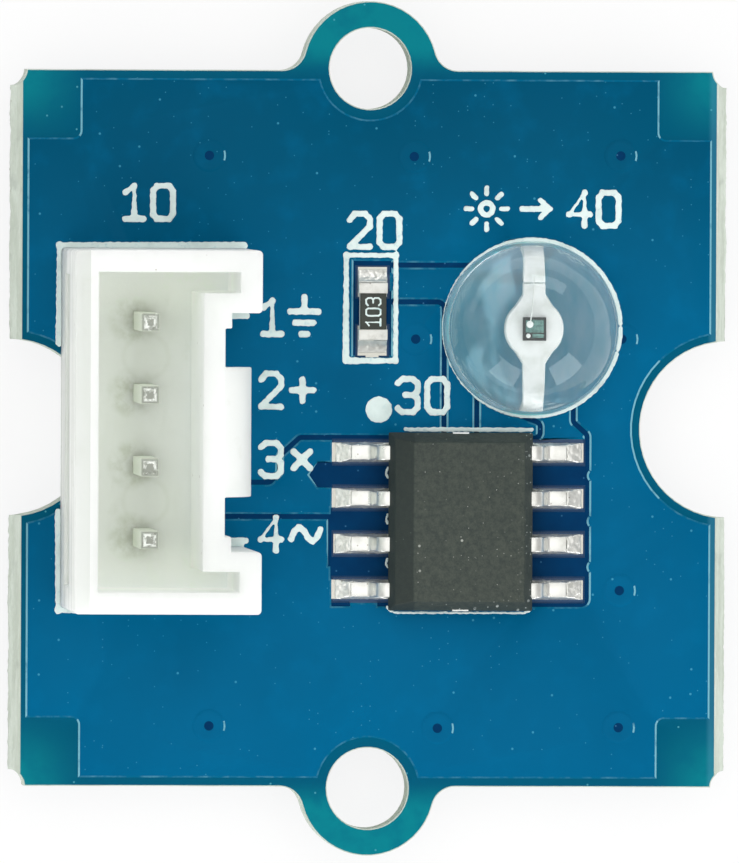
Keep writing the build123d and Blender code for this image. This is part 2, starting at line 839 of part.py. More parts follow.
with BuildPart() as sensor_die:
    with BuildSketch(Plane.XY.offset(strip_level)):
        with Locations((sensor_x, sensor_y)):
            Rectangle(sensor_die_size, sensor_die_size)
    extrude(amount=sensor_die_height)
save(sensor_die.part, "sensor_die")

with BuildPart() as sensor_wire:
    pad_spot = (sensor_x - sensor_die_size * 0.2, sensor_y + sensor_die_size * 0.2)
    add(
        bond_wire(
            (*pad_spot, strip_level + sensor_die_height),
            (sensor_x, sensor_y + lead_break + lead_break_gap + 0.15, strip_level),
            wire_rise,
            sensor_wire_radius,
        )
    )
    add(sensor_die.part, mode=Mode.SUBTRACT)
    add(sensor_lead_2.part, mode=Mode.SUBTRACT)
save(sensor_wire.part, "sensor_bond_wire")

# Clear body: a flange, a short barrel and a spherical dome, cast round the leads
sensor_inserts = [sensor_lead_1.part, sensor_lead_2.part, sensor_die.part, sensor_wire.part]
with BuildPart() as lens:
    with BuildSketch(Plane(origin=(sensor_x, sensor_y, 0), x_dir=(1, 0, 0), z_dir=(0, -1, 0))):
        ledge = mask_level + flange_top
        shoulder = mask_level + dome_start
        apex = mask_level + lens_height
        dome_sphere = (dome_radius**2 + (apex - shoulder) ** 2) / (2 * (apex - shoulder))
        with BuildLine():
            Polyline(
                (0, apex), (0, lens_seat), (lens_radius, lens_seat), (lens_radius, ledge),
                (dome_radius, ledge), (dome_radius, shoulder),
            )
            RadiusArc((dome_radius, shoulder), (0, apex), -dome_sphere)
        make_face()
    revolve(axis=Axis((sensor_x, sensor_y, 0), (0, 0, 1)))
    for insert in sensor_inserts:
        add(insert, mode=Mode.SUBTRACT)
save(lens.part, "sensor_lens")

with BuildPart() as sensor_solder:
    for place in (sensor_upper, sensor_lower):
        inserts = [sensor_lead_1.part, sensor_lead_2.part]
        add(hole_joint(place, sensor_hole_radius - plating, sensor_pad_radius, inserts))
save(sensor_solder.part, "sensor_solder")

# Print: outlines of the parts, the pin-one dot and the ring round the sensor
outline_top = amplifier_y + amplifier_length / 2 + 0.15
with BuildPart() as print_top:
    with BuildSketch(Plane.XY.offset(mask_level)):
        with Locations((connector_x, 0)):
            Rectangle(connector_width + 0.22, connector_length + 0.38)
            Rectangle(connector_width - ink_width, connector_length, mode=Mode.SUBTRACT)
        with Locations((connector_front + 0.2, 0)):
            Rectangle(1.2, recess_length, align=(Align.MAX, Align.CENTER), mode=Mode.SUBTRACT)
        for side in (1, -1):
            with Locations((connector_front + 0.1, side * (recess_length / 2 - ink_width * 0.7))):
                Rectangle(0.85, ink_width, align=(Align.MAX, Align.CENTER))
        with Locations((-board_width / 2, 0)):
            Circle(notch_radius + notch_clearance, mode=Mode.SUBTRACT)
        add(connector_plan(), mode=Mode.SUBTRACT)
        with Locations((resistor_x - 0.04, resistor_y + frame_lift)):
            Rectangle(frame_width + ink_width, frame_length + ink_width)
            Rectangle(frame_width - ink_width, frame_length - ink_width, mode=Mode.SUBTRACT)
        with BuildLine():
            left = amplifier_x - amplifier_width / 2 - 0.05
            right = amplifier_x + amplifier_width / 2 + 0.18
            low = amplifier_y - amplifier_length / 2 - 0.08
            outline = Polyline(
                (left + 0.65, outline_top), (right, outline_top), (right, low), (left, low),
                (left, outline_top - 0.65), close=True,
            )
        trace(outline, line_width=ink_width)
        with Locations((amplifier_x, amplifier_y)):
            with GridLocations(2 * pad_reach - pad_length, lead_pitch, 2, 4):
                Rectangle(pad_length + 0.2, pad_width + 0.2, mode=Mode.SUBTRACT)
        with Locations((amplifier_x - 2.23, amplifier_y + 3.09)):
            Circle(0.38)
        with Locations((sensor_x + ring_offset, sensor_y)):
            Circle(ring_radius + ring_width / 2)
            Circle(ring_radius - ring_width / 2, mode=Mode.SUBTRACT)
    extrude(amount=ink_thickness)
save(print_top.part, "silkscreen_top")
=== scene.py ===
# Light sensor module: looks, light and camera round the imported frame
import json
import math

import bmesh
import bpy
from mathutils import Matrix, Vector, noise

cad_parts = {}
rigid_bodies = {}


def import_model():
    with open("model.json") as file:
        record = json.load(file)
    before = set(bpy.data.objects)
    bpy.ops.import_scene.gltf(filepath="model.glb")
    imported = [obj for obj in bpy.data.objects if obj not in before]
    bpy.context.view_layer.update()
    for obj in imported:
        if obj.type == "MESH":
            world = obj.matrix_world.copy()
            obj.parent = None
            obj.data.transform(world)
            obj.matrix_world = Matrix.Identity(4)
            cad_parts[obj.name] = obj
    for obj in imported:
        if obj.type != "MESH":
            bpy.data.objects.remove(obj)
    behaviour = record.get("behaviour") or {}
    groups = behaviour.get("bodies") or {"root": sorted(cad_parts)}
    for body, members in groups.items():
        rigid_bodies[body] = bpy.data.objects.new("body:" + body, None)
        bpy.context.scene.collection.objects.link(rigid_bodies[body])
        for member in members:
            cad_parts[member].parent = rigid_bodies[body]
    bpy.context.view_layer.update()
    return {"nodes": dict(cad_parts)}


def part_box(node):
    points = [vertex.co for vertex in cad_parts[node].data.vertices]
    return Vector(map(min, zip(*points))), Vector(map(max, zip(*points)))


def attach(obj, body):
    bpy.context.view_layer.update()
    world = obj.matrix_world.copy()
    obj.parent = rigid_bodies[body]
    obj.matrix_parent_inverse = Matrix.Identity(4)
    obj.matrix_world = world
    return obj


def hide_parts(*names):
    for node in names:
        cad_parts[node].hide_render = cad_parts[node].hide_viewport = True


for leftover in list(bpy.data.objects):
    bpy.data.objects.remove(leftover)
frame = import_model()
nodes = frame["nodes"]
mm = 0.001
print("frame loaded:", len(nodes), "nodes")


# Shader helpers

def picked(red, green, blue):
    # Linear colour from the numbers a colour picker shows
    def linear(value):
        value = value / 255
        return value / 12.92 if value <= 0.04045 else ((value + 0.055) / 1.055) ** 2.4
    return (linear(red), linear(green), linear(blue), 1)


def plant(tree, kind, settings=None, sockets=None, out=0):
    # A node by its type, its settings and the values or links of its sockets
    made = tree.nodes.new(kind)
    for name, value in (settings or {}).items():
        setattr(made, name, value)
    for key, value in (sockets or {}).items():
        if isinstance(value, bpy.types.NodeSocket):
            tree.links.new(value, made.inputs[key])
        else:
            made.inputs[key].default_value = value
    return made.outputs[out]


class Value:
    # A socket that takes part in shader maths
    def __init__(self, finish, socket):
        self.finish = finish
        self.socket = socket

    def maths(self, operation, first, second=None):
        sockets = {0: first} if second is None else {0: first, 1: second}
        return self.finish.node("ShaderNodeMath", {"operation": operation}, sockets)

    def __add__(self, other): return self.maths("ADD", self, other)
    def __radd__(self, other): return self.maths("ADD", other, self)
    def __sub__(self, other): return self.maths("SUBTRACT", self, other)
    def __rsub__(self, other): return self.maths("SUBTRACT", other, self)
    def __mul__(self, other): return self.maths("MULTIPLY", self, other)
    def __rmul__(self, other): return self.maths("MULTIPLY", other, self)
    def __pow__(self, other): return self.maths("POWER", self, other)
    def __lt__(self, other): return self.maths("LESS_THAN", self, other)
    def __gt__(self, other): return self.maths("GREATER_THAN", self, other)
    def __abs__(self): return self.maths("ABSOLUTE", self)

    def larger(self, other): return self.maths("MAXIMUM", self, other)

    def ease(self, low, high):
        # 0 below low, 1 above high, smooth between
        return self.finish.node(
            "ShaderNodeMapRange", {"interpolation_type": "SMOOTHSTEP"},
            {"Value": self, "From Min": low, "From Max": high},
        )


class Finish:
    # The nodes of one material or world; a material's x, y and z are in mm
    def __init__(self, name, world=False):
        self.owner = (bpy.data.worlds if world else bpy.data.materials).new(name)
        self.owner.use_nodes = True
        self.tree = self.owner.node_tree
        self.tree.nodes.clear()
        self.output = self.tree.nodes.new("ShaderNodeOutputWorld" if world else "ShaderNodeOutputMaterial")
        self.place = self.node("ShaderNodeTexCoord", out="Generated" if world else "Object")
        scale = 1.0 if world else 1 / mm
        spread = self.node("ShaderNodeVectorMath", {"operation": "SCALE"}, {0: self.place, "Scale": scale})
        self.x, self.y, self.z = (self.node("ShaderNodeSeparateXYZ", None, {0: spread}, out=i) for i in range(3))

    def node(self, kind, settings=None, sockets=None, out=0):
        plain = {key: value.socket if isinstance(value, Value) else value for key, value in (sockets or {}).items()}
        return Value(self, plant(self.tree, kind, settings, plain, out))

    def grain(self, size, detail=2.0, rough=0.5, stretch=None, seed=0.0, warp=0.0):
        # Noise with features of that size in mm, 0 to 1
        place = self.place
        if stretch:
            place = self.node("ShaderNodeVectorMath", {"operation": "MULTIPLY"}, {0: place, 1: stretch})
        sockets = {"Vector": place, "W": seed, "Scale": 1 / (size * mm)}
        sockets.update({"Detail": detail, "Roughness": rough, "Distortion": warp})
        return self.node("ShaderNodeTexNoise", {"noise_dimensions": "4D"}, sockets)

    def specks(self, pitch, radius, share, seed=0.0, flat=True):
        # Small soft dots in a share of the cells of a random pattern, 0 to 1; pitch and radius in mm
        shift = (seed * 0.37 * mm, seed * 0.61 * mm, seed * 0.23 * mm)
        place = self.node("ShaderNodeVectorMath", {"operation": "ADD"}, {0: self.place, 1: shift})
        kind = {"voronoi_dimensions": "2D" if flat else "3D"}
        sockets = {"Vector": place, "Scale": 1 / (pitch * mm)}
        near = self.node("ShaderNodeTexVoronoi", kind, sockets)
        cell = self.node("ShaderNodeTexVoronoi", kind, sockets, out="Color")
        pick = self.node("ShaderNodeSeparateColor", None, {0: cell})
        return (1 - near.ease(radius / pitch * 0.5, radius / pitch)) * (pick < share)

    def blend(self, first, second, factor):
        return self.node("ShaderNodeMix", {"data_type": "RGBA"}, {0: factor, 6: first, 7: second}, out=2)

    def bump(self, height, distance, under=None):
        # Distance in mm
        sockets = {"Strength": 1.0, "Distance": distance * mm, "Height": height}
        if under:
            sockets["Normal"] = under
        return self.node("ShaderNodeBump", None, sockets)

    def shade(self, **sockets):
        named = {name.replace("_", " "): value for name, value in sockets.items()}
        return self.node("ShaderNodeBsdfPrincipled", None, named)

    def done(self, shader):
        self.tree.links.new(shader.socket, self.output.inputs["Surface"])
        return self.owner

    def dress(self, **sockets):
        return self.done(self.shade(**sockets))


# Materials

boardLook = {
    "pourShadedTop": picked(0, 80, 111), "pourLow": picked(0, 94, 135), "pourDark": picked(0, 80, 116),
    "bareLitThrough": picked(6, 122, 134), "bareDeep": picked(0, 84, 112), "edgeLitThrough": picked(70, 140, 168),
    "channel": picked(0, 58, 100), "channelDeep": picked(0, 42, 82),
    "shoulder": picked(0, 96, 132), "shoulderPaintedHighlight": picked(118, 178, 194),
    "roughness": 0.3, "specular": 0.02,
}


def lacquerBump(f):
    # Orange peel over the weave of the glass cloth
    weft = f.grain(0.5, 1.0, stretch=(1.0, 0.25, 1.0), seed=3)
    weave = weft + f.grain(0.5, 1.0, stretch=(0.25, 1.0, 1.0), seed=5)
    peel = f.bump(f.grain(0.16, 3.0, seed=1), 0.0012)
    return f.bump(weave, 0.0025, peel)


def lacquerOverCopper():
    f = Finish("blueLacquerOverCopper")
    look = boardLook
    # Painted shade: the pour darker towards the top of the board
    base = f.blend(look["pourLow"], look["pourShadedTop"], f.y.ease(1, 9))
    base = f.blend(base, look["pourDark"], f.grain(4.5, 2.0, seed=2).ease(0.5, 0.8) * 0.5)
    base = f.blend(base, picked(0, 104, 148), f.grain(0.9, 4.0, seed=9).ease(0.48, 0.75) * 0.3)
    dust = f.specks(0.55, 0.042, 0.07, seed=4).larger(f.specks(0.24, 0.02, 0.1, seed=7))
    base = f.blend(base, picked(70, 160, 190), dust * 0.6)
    rough = look["roughness"] + f.grain(1.2, 3.0, seed=6) * 0.14 + dust * 0.25
    return f.dress(Base_Color=base, Roughness=rough, Normal=lacquerBump(f), Specular_IOR_Level=look["specular"])


def lacquerOnLaminate():
    # Bare laminate shows through, greener towards the ears and corners: partly its own colour where no foil lies
    # under it, partly painted light let through the board
    f = Finish("blueLacquerOnLaminate")
    look = boardLook
    corner = (abs(f.x) - 7.7).ease(0, 2.1) * (abs(f.y) - 7.8).ease(0, 2.0)
    ear = (abs(f.y) - 9.75).ease(0, 0.9) * (1 - abs(f.x).ease(2.2, 3.2))
    litThrough = corner.larger(ear)
    mottle = f.grain(0.45, 4.0, seed=12)
    base = f.blend(look["bareDeep"], look["bareLitThrough"], litThrough)
    base = f.blend(base, picked(0, 88, 118), mottle.ease(0.4, 0.75) * 0.4)
    # Painted light let through the board, paler at its edge
    base = f.blend(base, look["edgeLitThrough"], f.x.ease(9.4, 9.55) * 0.3)
    dust = f.specks(0.42, 0.035, 0.07, seed=13)
    base = f.blend(base, picked(90, 175, 190), dust * 0.55)
    rough = look["roughness"] + f.grain(0.8, 3.0, seed=14) * 0.15
    return f.dress(Base_Color=base, Roughness=rough, Normal=lacquerBump(f), Specular_IOR_Level=look["specular"])


def lacquerInChannels():
    # Dark navy: the lacquer's own tone, darkened further by painted shade in the narrow channels between the foil
    f = Finish("blueLacquerInChannels")
    look = boardLook
    base = f.blend(look["channel"], look["channelDeep"], f.grain(0.5, 3.0, seed=21))
    base = f.blend(base, picked(70, 130, 170), f.specks(0.3, 0.03, 0.2, seed=22) * 0.5)
    return f.dress(
        Base_Color=base, Roughness=0.28 + f.grain(0.3, seed=23) * 0.2,
        Normal=lacquerBump(f), Specular_IOR_Level=look["specular"],
    )


def lacquerShoulderHighlight(name, low, high, share):
    # Painted highlight along the lacquer's slopes over the foil's edge, in patches
    f = Finish(name)
    look = boardLook
    patchyHighlight = f.grain(0.3, 4.0, 0.6, seed=31).ease(low, high) * share
    base = f.blend(look["shoulder"], look["shoulderPaintedHighlight"], patchyHighlight)
    return f.dress(Base_Color=base, Roughness=0.35 + patchyHighlight * 0.1, Specular_IOR_Level=look["specular"])


laminateLook = {
    "resin": picked(194, 204, 190), "fibre": picked(218, 227, 216), "dirt": picked(158, 168, 158),
    "layer": 0.18, "roughness": 0.62,
}


def laminateEdge():
    # Cut glass cloth: pale plies in a greenish resin, fluffy where it was snapped
    f = Finish("glassClothLaminate")
    look = laminateLook
    ply = f.grain(look["layer"], 2.0, stretch=(0.12, 0.12, 1.0), seed=41, warp=0.4).ease(0.38, 0.62)
    fluff = f.grain(0.11, 5.0, 0.65, stretch=(1.0, 0.6, 1.3), seed=42)
    base = f.blend(look["resin"], look["fibre"], ply * 0.6 + fluff.ease(0.45, 0.75) * 0.4)
    base = f.blend(base, look["dirt"], f.grain(0.7, 4.0, seed=43).ease(0.56, 0.78) * 0.5)
    base = f.blend(base, picked(120, 112, 84), f.specks(0.35, 0.05, 0.12, seed=44, flat=False) * 0.5)
    # Beside the pads it is darkened to the channels' blue
    chipSide = (abs(f.x - 2.5) < 3.7) * (abs(f.y + 2.56) < 2.7)
    resistorSide = (abs(f.x - 0.08) < 0.6) * (abs(f.y - 3.26) < 1.5)
    base = f.blend(base, boardLook["channel"], chipSide.larger(resistorSide) * (f.z > 1.55))
    normal = f.bump(fluff + ply * 0.6, 0.02)
    return f.dress(Base_Color=base, Roughness=look["roughness"] + ply * 0.15, Normal=normal)


inkLook = {"ink": picked(222, 236, 233), "thin": picked(150, 196, 205), "roughness": 0.55}


def printInk():
    # Screen-printed ink, thinner in patches where the blue shows through
    f = Finish("whitePrintInk")
    look = inkLook
    thin = f.grain(0.16, 4.0, 0.6, seed=51).ease(0.52, 0.78)
    base = f.blend(look["ink"], look["thin"], thin * 0.55)
    base = f.blend(base, picked(168, 184, 180), f.grain(0.6, 3.0, seed=52).ease(0.45, 0.8) * 0.5)
    normal = f.bump(f.grain(0.05, 3.0, seed=53), 0.004)
    return f.dress(Base_Color=base, Roughness=look["roughness"] + thin * 0.2, Normal=normal, Specular_IOR_Level=0.3)


nylonLook = {
    "fresh": picked(240, 245, 239), "shade": picked(230, 235, 226), "smudge": picked(206, 210, 192),
    "shadeAndMarks": picked(160, 166, 132), "rib": picked(150, 154, 148), "roughness": 0.36,
}


def mouldedNylon():
    # Satin white nylon with faint flow marks, smudges and a few dark specks
    f = Finish("whiteMouldedNylon")
    look = nylonLook
    flow = f.grain(1.4, 4.0, 0.55, stretch=(1.0, 0.45, 0.6), seed=61, warp=0.5)
    blotchy = f.grain(0.4, 4.0, 0.6, seed=67)
    base = f.blend(look["fresh"], look["shade"], flow.ease(0.42, 0.75) * 0.5)
    base = f.blend(base, look["smudge"], f.grain(0.9, 5.0, 0.6, seed=62).ease(0.6, 0.82) * 0.35)
    # Painted shadow left of each pin and faint ejector marks, on the cavity's floor
    onFloor = (f.z < 3.6) * (f.z > 3.2)
    across, along = f.x + 6.7, abs(abs(abs(f.y) - 2) - 1)
    shadeAndMarks = 1 - (across * across + along * along).ease(0.03, 0.6)
    base = f.blend(base, look["shadeAndMarks"], shadeAndMarks * onFloor * blotchy.ease(0.3, 0.75) * 0.55)
    across, along = f.x + 6.3, abs(f.y) - 2
    mark = abs((across * across + along * along) ** 0.5 - 0.62).ease(0.0, 0.12)
    base = f.blend(base, look["shadeAndMarks"], (1 - mark) * onFloor * 0.07)
    # Fine ribs of the mould on the outer wall behind the pins
    ribs = f.grain(1.6, 3.0, 0.7, stretch=(0.0, 0.01, 1.0), seed=66).ease(0.38, 0.6)
    base = f.blend(base, look["rib"], ribs * (f.x < -8.15) * 0.6)
    base = f.blend(base, picked(120, 112, 92), f.specks(0.7, 0.06, 0.3, seed=63, flat=False) * 0.8)
    # Painted glow, as emission, for daylight that the thin walls let through, low in the cavity
    inside = (abs(f.x + 6) < 2.45) * (abs(f.y) < 4.45) * (f.z > 3.2)
    deep = (1 - f.z.ease(3.6, 9.2)) * inside * (0.5 + abs(f.y).ease(2.9, 3.9) * 0.5)
    glow = f.blend((0, 0, 0, 1), picked(226, 228, 210), deep)
    normal = f.bump(f.grain(0.07, 3.0, seed=64), 0.003)
    normal = f.bump(flow, 0.006, normal)
    rough = look["roughness"] + f.grain(0.5, 3.0, seed=65) * 0.12
    return f.dress(
        Base_Color=base, Roughness=rough, Normal=normal, Specular_IOR_Level=0.35,
        Subsurface_Weight=1.0, Subsurface_Scale=2.6 * mm, Subsurface_Radius=(1, 1, 1),
        Emission_Color=glow, Emission_Strength=0.16,
    )


tinLook = {"bright": picked(246, 246, 240), "dull": picked(196, 196, 184)}


def plainTin(name, seed, rough=0.24, size=0.12, depth=0.004, metal=0.78):
    # Tin plate or solder: bright, with a grain of its own
    f = Finish(name)
    look = tinLook
    cloud = f.grain(size * 3, 4.0, 0.6, seed=seed)
    base = f.blend(look["bright"], look["dull"], cloud.ease(0.45, 0.8) * 0.6)
    base = f.blend(base, picked(120, 108, 84), f.specks(0.3, 0.03, 0.1, seed=seed + 1) * 0.5)
    normal = f.bump(f.grain(size, 4.0, 0.55, seed=seed + 2), depth)
    normal = f.bump(f.grain(size * 5, 2.0, seed=seed + 3), depth * 3, normal)
    return f.dress(Base_Color=base, Metallic=metal, Roughness=rough + cloud * 0.2, Normal=normal)


def stampedPins():
    # Sheared tin-plated wire: dull sides, worn bright rims round darker tips
    f = Finish("stampedPins")
    tip = (f.z - 7.5).ease(0, 0.08)
    off = abs(f.x + 6.4).larger(abs(abs(abs(f.y) - 2) - 1))
    blotchy = f.grain(0.09, 4.0, 0.6, seed=161)
    ragged = f.grain(0.2, 3.0, 0.6, seed=163)
    rim = (off + blotchy * 0.16).ease(0.16, 0.2) * (1 - (off + ragged * 0.12).ease(0.22, 0.27))
    base = f.blend(picked(230, 235, 222), picked(242, 244, 236), f.grain(0.3, 3.0, stretch=(1, 1, 0.3), seed=162))
    bright = (rim * ragged.ease(0.38, 0.58)).larger(blotchy.ease(0.58, 0.7))
    base = f.blend(base, f.blend(picked(150, 153, 144), picked(252, 253, 250), bright), tip)
    return f.dress(Base_Color=base, Metallic=0.08, Roughness=0.35 + blotchy * 0.25, Normal=f.bump(blotchy, 0.008))


def mouldedEpoxy():
    # Matt package compound: pitted, dusty and lightly scratched
    f = Finish("darkMouldedEpoxy")
    base = f.blend(picked(48, 57, 53), picked(68, 75, 67), f.grain(0.12, 5.0, 0.75, seed=71).ease(0.34, 0.68))
    pits = f.grain(0.035, 3.0, 0.6, seed=72)
    base = f.blend(base, picked(50, 60, 57), pits.ease(0.58, 0.75) * 0.5)
    scratch = f.grain(0.09, 1.0, stretch=(1.0, 0.05, 1.0), seed=73).ease(0.74, 0.8)
    base = f.blend(base, picked(122, 130, 120), scratch * f.grain(1.1, seed=74).ease(0.55, 0.7) * 0.4)
    dust = f.specks(0.2, 0.017, 0.2, seed=75).larger(f.specks(0.6, 0.045, 0.08, seed=76))
    base = f.blend(base, picked(180, 184, 176), dust * f.grain(0.6, seed=77).ease(0.4, 0.65) * 0.8)
    # Lint and chips gather at the right and lower edges
    low, high = (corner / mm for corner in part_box("amplifier_body"))
    rim = (f.x - high.x).ease(-0.45, -0.1).larger((low.y - f.y).ease(-0.4, -0.1))
    lint = f.specks(0.13, 0.022, 0.2, seed=78).larger(f.specks(0.3, 0.05, 0.2, seed=79))
    base = f.blend(base, picked(196, 202, 196), lint * rim * f.grain(0.4, 3.0, seed=80).ease(0.38, 0.48) * 0.9)
    # Painted shade: the drafted sides and the bevel darker than the top, most on the left side
    flankShade = 1 - (f.z - high.z).ease(-0.03, -0.005)
    base = f.blend(base, picked(34, 44, 42), flankShade * (0.25 + 0.5 * (f.x < 1.2)))
    normal = f.bump(pits, 0.006)
    return f.dress(Base_Color=base, Roughness=0.56 + pits * 0.2, Normal=normal, Specular_IOR_Level=0.35)


def castResin(name, haze, frost):
    # Clear epoxy, a little milky; lamps reach what is inside it
    f = Finish(name)
    ripple = f.bump(f.grain(1.1, 2.0, seed=81), 0.006)
    cloud = f.grain(1.8, 3.0, seed=82)
    streaks = f.grain(1.1, 4.0, 0.6, stretch=(1.0, 0.45, 1.0), seed=83).ease(0.42, 0.66)
    tint = f.blend(picked(96, 214, 222), picked(214, 250, 250), streaks)
    # Painted reflection, as emission: pale patches where the room is seen in the dome
    across, along = f.x - 4.45, f.y - 2.81
    out = (across * across + along * along) ** 0.5
    patch = f.grain(1.5, 3.0, 0.5, stretch=(1.0, 0.6, 0.6), seed=84, warp=0.4).ease(0.51, 0.6)
    patch = patch * out.ease(0.9, 1.3) * (1 - out.ease(2.05, 2.25)) * (f.z > 3.3)
    paintedReflection = f.blend((0, 0, 0, 1), picked(150, 188, 198), patch)
    body = f.shade(
        Emission_Color=paintedReflection, Emission_Strength=0.0 if frost > 0.1 else 0.3,
        Base_Color=tint if frost > 0.1 else picked(250, 254, 254), Transmission_Weight=1 - haze, IOR=1.5,
        Roughness=frost + cloud.ease(0.5, 0.9) * 0.05, Normal=ripple, Specular_Tint=(0.9, 1.0, 1.0, 1),
    )
    clear = f.node("ShaderNodeBsdfTransparent", None, {"Color": picked(244, 249, 251)})
    lamps = f.node("ShaderNodeLightPath", out="Is Shadow Ray")
    return f.done(f.node("ShaderNodeMixShader", None, {0: lamps, 1: body, 2: clear}))


def silveredStrip():
    f = Finish("silveredStrip")
    rolled = f.grain(0.05, 3.0, stretch=(1.0, 0.08, 1.0), seed=91)
    base = f.blend(picked(252, 254, 252), picked(226, 230, 224), f.grain(0.4, 3.0, seed=92).ease(0.4, 0.8))
    return f.dress(Base_Color=base, Metallic=0.1, Roughness=0.38 + rolled * 0.12, Normal=f.bump(rolled, 0.003))


def siliconFace():
    # Polished die with the fine pattern of its junctions
    f = Finish("siliconFace")
    cells = f.node("ShaderNodeTexBrick", {"offset": 0.5}, {
        "Color1": picked(96, 140, 134), "Color2": picked(122, 166, 156), "Mortar": picked(60, 84, 80),
        "Vector": f.place, "Scale": 1 / (0.2 * mm), "Mortar Size": 0.02, "Brick Width": 0.9, "Row Height": 0.6,
    })
    base = f.blend(cells, picked(52, 84, 80), f.grain(0.1, 2.0, seed=95).ease(0.4, 0.7) * 0.5)
    return f.dress(Base_Color=base, Roughness=0.18 + f.grain(0.05, seed=96) * 0.1, Metallic=0.2)


def siliconFrame():
    f = Finish("siliconFrame")
    base = f.blend(picked(10, 14, 14), picked(30, 36, 34), f.grain(0.06, 3.0, seed=97))
    return f.dress(Base_Color=base, Roughness=0.3 + f.grain(0.04, seed=98) * 0.2)


def drawnGold(name, bright, dull):
    f = Finish(name)
    base = f.blend(bright, dull, f.grain(0.08, 2.0, seed=101))
    return f.dress(Base_Color=base, Metallic=0.5, Roughness=0.25 + f.grain(0.03, seed=102) * 0.1)


def firedAlumina():
    f = Finish("firedAlumina")
    grainy = f.grain(0.03, 4.0, 0.6, seed=111)
    base = f.blend(picked(240, 241, 236), picked(222, 222, 212), grainy)
    return f.dress(Base_Color=base, Roughness=0.5 + grainy * 0.15, Normal=f.bump(grainy, 0.003))


def darkGlaze():
    f = Finish("darkGlaze")
    base = f.blend(picked(34, 40, 34), picked(56, 62, 52), f.grain(0.12, 4.0, seed=121))
    rough = 0.28 + f.grain(0.2, 3.0, seed=122) * 0.2
    return f.dress(Base_Color=base, Roughness=rough, Normal=f.bump(f.grain(0.06, 3.0, seed=123), 0.003))


def rolledCopper():
    # Foil: tinned where the lacquer leaves a pad open, red copper at its edges
    f = Finish("rolledCopper")
    onFace = abs(f.z - 0.8).ease(0.831, 0.834)
    base = f.blend(picked(190, 122, 92), picked(214, 212, 202), onFace)
    # Darkened to the channels' blue, and less metallic, beside the amplifier's and resistor's pads
    row = abs(abs(abs(f.y + 2.56) - 1.27) - 0.635)
    besidePads = row.ease(0.25, 0.28) * (f.y < 0.1) * (abs(f.x - 2.5) < 3.6)
    besidePads = besidePads.larger(abs(f.x - 0.08).ease(0.395, 0.41) * (abs(f.y - 3.26) < 1.4) * (f.x < 1))
    base = f.blend(base, boardLook["channel"], besidePads * onFace)
    grainy = f.grain(0.08, 4.0, seed=131)
    return f.dress(
        Base_Color=base, Metallic=0.6 - besidePads * 0.6, Roughness=0.3 + grainy * 0.2, Normal=f.bump(grainy, 0.003),
    )


looks = {
    "pour": lacquerOverCopper(), "bare": lacquerOnLaminate(), "channel": lacquerInChannels(),
    "shoulder": lacquerShoulderHighlight("blueLacquerShoulder", 0.4, 0.75, 0.3),
    "glint": lacquerShoulderHighlight("blueLacquerGlint", 0.15, 0.5, 0.9),
    "laminate": laminateEdge(), "ink": printInk(), "nylon": mouldedNylon(), "pins": stampedPins(),
    "plate": plainTin("tinPlate", 141, 0.2, 0.14, 0.003),
    "cap": plainTin("dullTinPlate", 145, 0.42, 0.1, 0.012, 0.95),
    "solder": plainTin("brightSolder", 151, 0.26, 0.1, 0.008),
    "epoxy": mouldedEpoxy(), "glaze": darkGlaze(), "alumina": firedAlumina(), "copper": rolledCopper(),
    "resin": castResin("clearCastResin", 0.015, 0.02), "frosted": castResin("frostedResin", 0.14, 0.4),
    "silver": silveredStrip(), "die": siliconFace(), "dieFrame": siliconFrame(),
    "gold": drawnGold("drawnGold", picked(238, 214, 150), picked(214, 184, 112)),
    "wire": drawnGold("drawnPaleWire", picked(250, 251, 248), picked(236, 238, 232)),
}
print("materials built:", len(looks))


# Mesh helpers

def merged(nodeName, melt=0.4):
    # A CAD node's triangles joined into faces
    mesh = bmesh.new()
    mesh.from_mesh(nodes[nodeName].data)
    bmesh.ops.remove_doubles(mesh, verts=mesh.verts, dist=2e-7)
    if melt:
        bmesh.ops.dissolve_limit(mesh, angle_limit=math.radians(melt), verts=mesh.verts, edges=mesh.edges)
    return mesh


def easeEdges(mesh, width, segments=2, corner=25):
    # Rounds the hard edges
    edges = [e for e in mesh.edges if len(e.link_faces) == 2 and e.calc_face_angle(0) > math.radians(corner)]
    bmesh.ops.bevel(
        mesh, geom=edges, offset=width, segments=segments, profile=0.5, affect="EDGES", clamp_overlap=True,
    )


def makePiece(mesh, name, stands, materials, sharp=35):
    # Turns a bmesh or a mesh into a finished piece of the object
    if isinstance(mesh, bmesh.types.BMesh):
        data = bpy.data.meshes.new(name)
        mesh.to_mesh(data)
        mesh.free()
    else:
        data = mesh
        data.name = name
    for look in materials:
        if looks[look].name not in data.materials:
            data.materials.append(looks[look])
    piece = bpy.data.objects.new(name, data)
    bpy.context.scene.collection.objects.link(piece)
    data.polygons.foreach_set("use_smooth", [True] * len(data.polygons))
    data.set_sharp_from_angle(angle=math.radians(sharp))
    data.update()
    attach(piece, "root")
    if stands:
        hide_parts(*stands)
    return piece


def plainCopy(nodeName, name, look, edge, segments=2, sharp=35):
    # A CAD node with eased edges and a finish
    mesh = merged(nodeName)
    if edge:
        easeEdges(mesh, edge, segments)
    makePiece(mesh, name, [nodeName], [look], sharp)


def evaluated(thing):
    # The mesh that an object's modifiers make; the object itself goes
    data = bpy.data.meshes.new_from_object(thing.evaluated_get(bpy.context.evaluated_depsgraph_get()))
    bpy.data.objects.remove(thing)
    return data


def loose(mesh, name):
    # A bmesh as a plain object, for modifiers to work on
    data = bpy.data.meshes.new(name)
    mesh.to_mesh(data)
    mesh.free()
    thing = bpy.data.objects.new(name, data)
    bpy.context.scene.collection.objects.link(thing)
    return thing


